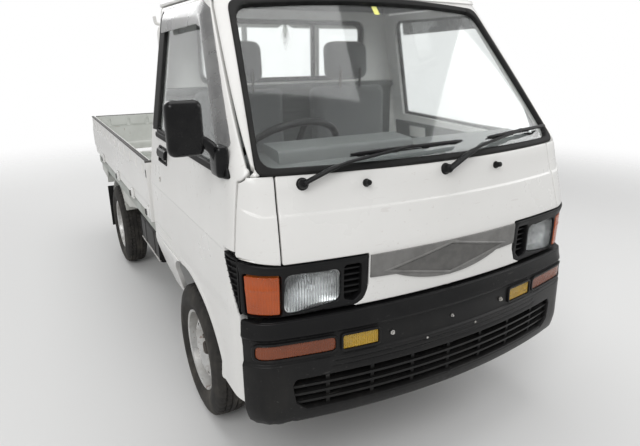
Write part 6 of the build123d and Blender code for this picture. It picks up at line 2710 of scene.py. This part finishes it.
@dataclass
class Wheel:
    """A 12-inch wheel: silver steel rim and a tyre with block tread. All five share the two meshes.

    Attributes:
        outer: The tyre's radius.
        steps: Steps round the tyre.
        slot_depth: How deep the slots between the blocks are.
    """

    outer: float = WHEEL_Z
    steps: int = 208
    slot_depth: float = 0.0048

    def build(self) -> None:
        """Builds the meshes once and places all five wheels."""
        tyre = shaded("tyre_mesh", self.tyre(), (TYRE,), 30)
        rim = shaded("rim_mesh", self.rim(), (WHEEL_SILVER, CHASSIS_BLACK, BRIGHT_STEEL), 34)
        for end, y in (("front", FRONT_AXLE_Y), ("rear", REAR_AXLE_Y)):
            for side in Side:
                place = Matrix.Translation((side.value * WHEEL_X, y, WHEEL_Z))
                if side is Side.RIGHT:
                    place = place @ Matrix.Rotation(math.pi, 4, "Z")
                body = f"wheel_{end}_{side.word}"
                self.put(f"tyre_{end}_{side.word}_tread", tyre, place, body, TYRE.slot, f"tyre_{end}_{side.word}")
                self.put(
                    f"rim_{end}_{side.word}_steel", rim, place, body, WHEEL_SILVER.slot, f"rim_{end}_{side.word}"
                )
        flat = Matrix.Translation((0, 1.290, 0.480)) @ Matrix.Rotation(math.pi / 2, 4, "Y")
        self.put("spare_tyre", tyre, flat, CHASSIS, TYRE.slot, "spare_wheel")
        self.put("spare_rim", rim, flat, CHASSIS, WHEEL_SILVER.slot, "spare_wheel")

    def put(self, name: str, mesh: bpy.types.Mesh, place: Matrix, body: str, slot: str, stands_for: str) -> None:
        """Places one copy of a shared mesh."""
        made = linked(name, mesh)
        made.matrix_world = place
        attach(made, body)
        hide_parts(stands_for)
        LOG.info("%s: %d faces", name, len(mesh.polygons))

    def tyre(self) -> bmesh.types.BMesh:
        """The tyre with grooves, blocks and ringed sidewalls; X is its axis, outward."""
        profile = [(-x, d) for x, d in reversed(TYRE_HALF[1:])] + list(TYRE_HALF)
        bm = bmesh.new()
        rings = []
        for k in range(self.steps):
            ring = []
            for x, d in profile:
                wide = abs(x)
                on_blocks = 0.0155 <= wide <= 0.057 and d < 0.012
                between = (k + (1 if x > 0 else 3) + (1 if wide > 0.034 else 0)) % 4 == 0
                slot = self.slot_depth if on_blocks and between else 0.0
                radius = self.outer - max(d, min(d + slot, 0.0115))
                shear = (x / 0.0725) * 0.010 if wide < 0.06 else 0.0
                angle = 2 * math.pi * k / self.steps + shear
                ring.append(bm.verts.new((x, -radius * math.sin(angle), radius * math.cos(angle))))
            rings.append(ring)
        for a, b in zip(rings, rings[1:] + rings[:1]):
            for i in range(len(profile) - 1):
                bm.faces.new([a[i], b[i], b[i + 1], a[i + 1]])
            bm.faces.new([a[-1], b[-1], b[0], a[0]])
        return bm

    def rim(self) -> bmesh.types.BMesh:
        """The pressed rim: flanged well, pierced disc, nuts and the hub's cap."""
        bm = bmesh.new()
        lathe(bm, WELL_PROFILE, Matrix.Identity(4), 96, closed=True)

        def surface(u: float, v: float) -> Vector:
            return Vector((eased(DISC_PROFILE, math.hypot(u, v), (-0.004, -0.002, 0, 0.002, 0.004)), u, v))

        def circle(a: float, b: float, r: float, count: int) -> list[Point2]:
            turns = [2 * math.pi * k / count for k in range(count)]
            return [(a + r * math.cos(turn), b + r * math.sin(turn)) for turn in turns]

        ring, edge = 0.105, DISC_PROFILE[-1][0]
        spread = np.arange(0, 2 * math.pi - 0.01, math.pi / 6)
        holes = [circle(ring * math.cos(a), ring * math.sin(a), 0.0125, 18) for a in spread]
        Sheet(surface, circle(0, 0, edge, 96), holes, thick=0.0035, roll=0.0012, pitch=0.011).build(bm)
        for k in range(4):
            angle = math.radians(45 + 90 * k)
            at = Matrix.Translation((0.017, 0.050 * math.cos(angle), 0.050 * math.sin(angle)))
            lathe(bm, NUT_PROFILE, at, 6, number=1)
            lathe(bm, STUD_PROFILE, at, 12, number=2)
        lathe(bm, HUB_PROFILE, Matrix.Identity(4), 32, number=1)
        return bm


# ---- Carried-over CAD nodes ----


@dataclass(frozen=True)
class CarriedNodes:
    """The CAD's own meshes that stay in view, each with its finish and softened edges.

    Attributes:
        finishes: The finish of each node that no piece replaces.
        soft: The radius given to their edges.
        sharp: Edges that turn more than this many degrees get it.
    """

    finishes: tuple[tuple[str, Finish], ...] = (
        ("chassis_frame", CHASSIS_BLACK), ("cab_floor", CAB_FLOOR_PAINT), ("cab_controls", TRIM_BLACK),
        ("radiator", CAST_METAL), ("bed_floor", LOAD_FLOOR), ("tail_panel", BODY_PAINT), ("tail_lamps", RED_LENS),
        ("mudguards", BED_PAINT), ("mud_flaps", RUBBER), ("battery_box", TRIM_BLACK), ("engine_block", CAST_METAL),
        ("rear_axle", CHASSIS_BLACK), ("leaf_springs", CHASSIS_BLACK), ("front_suspension", CHASSIS_BLACK),
        ("knuckle_left", CHASSIS_BLACK), ("knuckle_right", CHASSIS_BLACK),
    )
    soft: float = 0.0025
    sharp: float = 38

    def build(self) -> None:
        """Gives each node its finish, a softened edge and smooth shading."""
        for name, finish in self.finishes:
            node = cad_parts[name]
            node.data.materials.clear()
            node.data.materials.append(finish.material())
            for polygon in node.data.polygons:
                polygon.material_index = 0
            weld = node.modifiers.new("weld", "WELD")
            weld.merge_threshold = 1e-5
            bevel = node.modifiers.new("soft_edges", "BEVEL")
            bevel.width, bevel.segments, bevel.use_clamp_overlap = self.soft, 2, True
            bevel.limit_method, bevel.angle_limit = "ANGLE", math.radians(self.sharp)
            normals = node.modifiers.new("normals", "WEIGHTED_NORMAL")
            normals.keep_sharp = False
            LOG.info("%s: carried over", name)


@dataclass
class Tank:
    """The fuel tank behind the cab on the right: a dark pressed box with flanges, straps and a bright lower edge.

    Attributes:
        low: Its lowest corner.
        high: Its highest corner.
    """

    low: tuple[float, float, float] = (-0.662, -0.297, 0.440)
    high: tuple[float, float, float] = (-0.440, 0.135, 0.592)

    def build(self) -> None:
        """Builds and dresses the tank."""
        bm = bmesh.new()
        (x0, y0, z0), (x1, y1, z1) = self.low, self.high
        corners = [(x0, z0 + 0.012), (x0, z1 - 0.02), (x0 + 0.03, z1), (x1, z1), (x1, z0), (x0 + 0.012, z0)]
        section, flange = rounded(corners, 0.014, 0.005), 0.004
        prism(bm, section, along_y, y0 + flange, y1 - flange)
        for y in (y0, y1 - flange):
            prism(bm, grown(section, 0.003), along_y, y, y + flange)
        for y in (y0 + 0.11, y1 - 0.11):
            slab(bm, (x0 - 0.002, y - 0.016, z0 + 0.014), (x0 + 0.003, y + 0.016, z1 - 0.022), 0.001)
        piece("fuel_tank_shell", bm, (TANK_BLACK,), ("fuel_tank",), sharp=40)
        trim = bmesh.new()
        slab(trim, (x0 - 0.003, y0 - 0.002, z0 + 0.004), (x0 + 0.004, y1 + 0.002, z0 + 0.012), 0.0015)
        piece("tank_straps", trim, (BRIGHT_STEEL,))


# ---- The studio ----


@dataclass(frozen=True)
class Studio:
    """Pale floor, soft lamps, white surround and the photograph's camera.

    Attributes:
        eye: Where the camera is.
        yaw: How far it is turned from +Y towards +X, in degrees.
        pitch: How far it looks down, in degrees.
        roll: Its roll, in degrees.
        lens: Focal length for a sensor 36 mm wide.
        shift: The lens's shift.
        glow: Strength of the surround as a light.
        glossy_share: How white the surround is in reflections.
    """

    eye: tuple[float, float, float] = (-1.132, -2.789, 1.431)
    yaw: float = 28.76
    pitch: float = 18.27
    roll: float = -0.35
    lens: float = 29.52
    shift: tuple[float, float] = (0.0009, 0.0019)
    glow: float = 0.42
    glossy_share: float = 0.3

    def build(self) -> None:
        """Sets the stage."""
        scene = bpy.context.scene
        scene.view_settings.view_transform = "Standard"
        self.floor()
        self.surround(scene)
        self.lamp("key", (-3.4, -4.6, 4.6), (-0.2, -0.6, 0.7), 3.2, 150)
        self.lamp("fill", (4.6, -2.8, 3.6), (0.2, 0.2, 0.7), 3.6, 85)
        self.lamp("rear", (-1.5, 5.6, 4.2), (0, 0.8, 0.8), 3.6, 110)
        self.lamp("top", (0.0, -0.4, 6.2), (0, 0, 0), 4.6, 120)
        self.camera(scene)

    def floor(self) -> None:
        """The pale floor."""
        bm = bmesh.new()
        bmesh.ops.create_grid(bm, x_segments=2, y_segments=2, size=30)
        mesh = as_mesh("studio_floor", bm)
        made = linked("studio_floor", mesh)
        surface = Finish("studio_floor", "floor", (0.74, 0.74, 0.735), 0.75).material()
        fade = surface.node_tree.nodes.new("ShaderNodeGroup")
        fade.node_tree = Effects.tree(FarFade)
        shader = surface.node_tree.nodes["Principled BSDF"]
        surface.node_tree.links.new(fade.outputs["Mask"], shader.inputs["Alpha"])
        mesh.materials.append(surface)

    def surround(self, scene: bpy.types.Scene) -> None:
        """White to the eye and through glass, softer in reflections and as a light."""
        world = bpy.data.worlds.new("studio")
        scene.world = world
        world.use_nodes = True
        writer = TreeWriter(world.node_tree)
        light, out = (world.node_tree.nodes[label] for label in ("Background", "World Output"))
        light.inputs["Strength"].default_value = self.glow
        white = writer.node("ShaderNodeBackground")
        for background in (light, white):
            background.inputs["Color"].default_value = (1, 1, 1, 1)
        path = writer.node("ShaderNodeLightPath").outputs
        direct = writer.sums("MAXIMUM", path["Is Camera Ray"], path["Is Transmission Ray"])
        glossy = writer.sums("MULTIPLY", path["Is Glossy Ray"], self.glossy_share)
        mix = writer.node("ShaderNodeMixShader")
        writer.wire(writer.sums("MAXIMUM", direct, glossy), mix.inputs["Fac"])
        writer.wire(light.outputs[0], mix.inputs[1])
        writer.wire(white.outputs[0], mix.inputs[2])
        writer.wire(mix.outputs[0], out.inputs["Surface"])

    def lamp(self, name: str, at: Sequence[float], target: Sequence[float], size: float, power: float) -> None:
        """Adds a square soft lamp that points at a place."""
        data = bpy.data.lights.new(name, "AREA")
        data.shape, data.size, data.energy = "SQUARE", size, power
        made = linked(name, data)
        made.location = at
        made.rotation_euler = (Vector(target) - Vector(at)).to_track_quat("-Z", "Y").to_euler()

    def camera(self, scene: bpy.types.Scene) -> None:
        """Adds the photograph's camera."""
        yaw, pitch, roll = (math.radians(a) for a in (self.yaw, self.pitch, self.roll))
        ahead = Vector((math.sin(yaw) * math.cos(pitch), math.cos(yaw) * math.cos(pitch), -math.sin(pitch)))
        level = Vector((math.cos(yaw), -math.sin(yaw), 0))
        right = level * math.cos(roll) + level.cross(ahead) * math.sin(roll)
        data = bpy.data.cameras.new("camera")
        data.lens, data.sensor_width, data.sensor_fit = self.lens, 36, "HORIZONTAL"
        data.shift_x, data.shift_y = self.shift
        data.clip_start, data.clip_end = 0.05, 100
        made = linked("camera", data)
        turn = Matrix((right, right.cross(ahead), -ahead)).transposed().to_4x4()
        made.matrix_world = Matrix.Translation(self.eye) @ turn
        scene.camera = made


def main() -> None:
    """Builds every sub-assembly in order."""
    logging.basicConfig(level=logging.INFO, format="%(message)s")
    assemblies = [
        CabShell(), FrontPanels(), Glazing(), LampGroup(), Bumper(), Garnish(), Wipers(), Door(Side.LEFT),
        Door(Side.RIGHT), Seats(), Dashboard(), SteeringWheel(), Bed(), Wheel(), CarriedNodes(), Tank(), Studio(),
    ]
    for assembly in assemblies:
        LOG.info("-- %s", type(assembly).__name__)
        assembly.build()


if __name__ == "__main__":
    main()
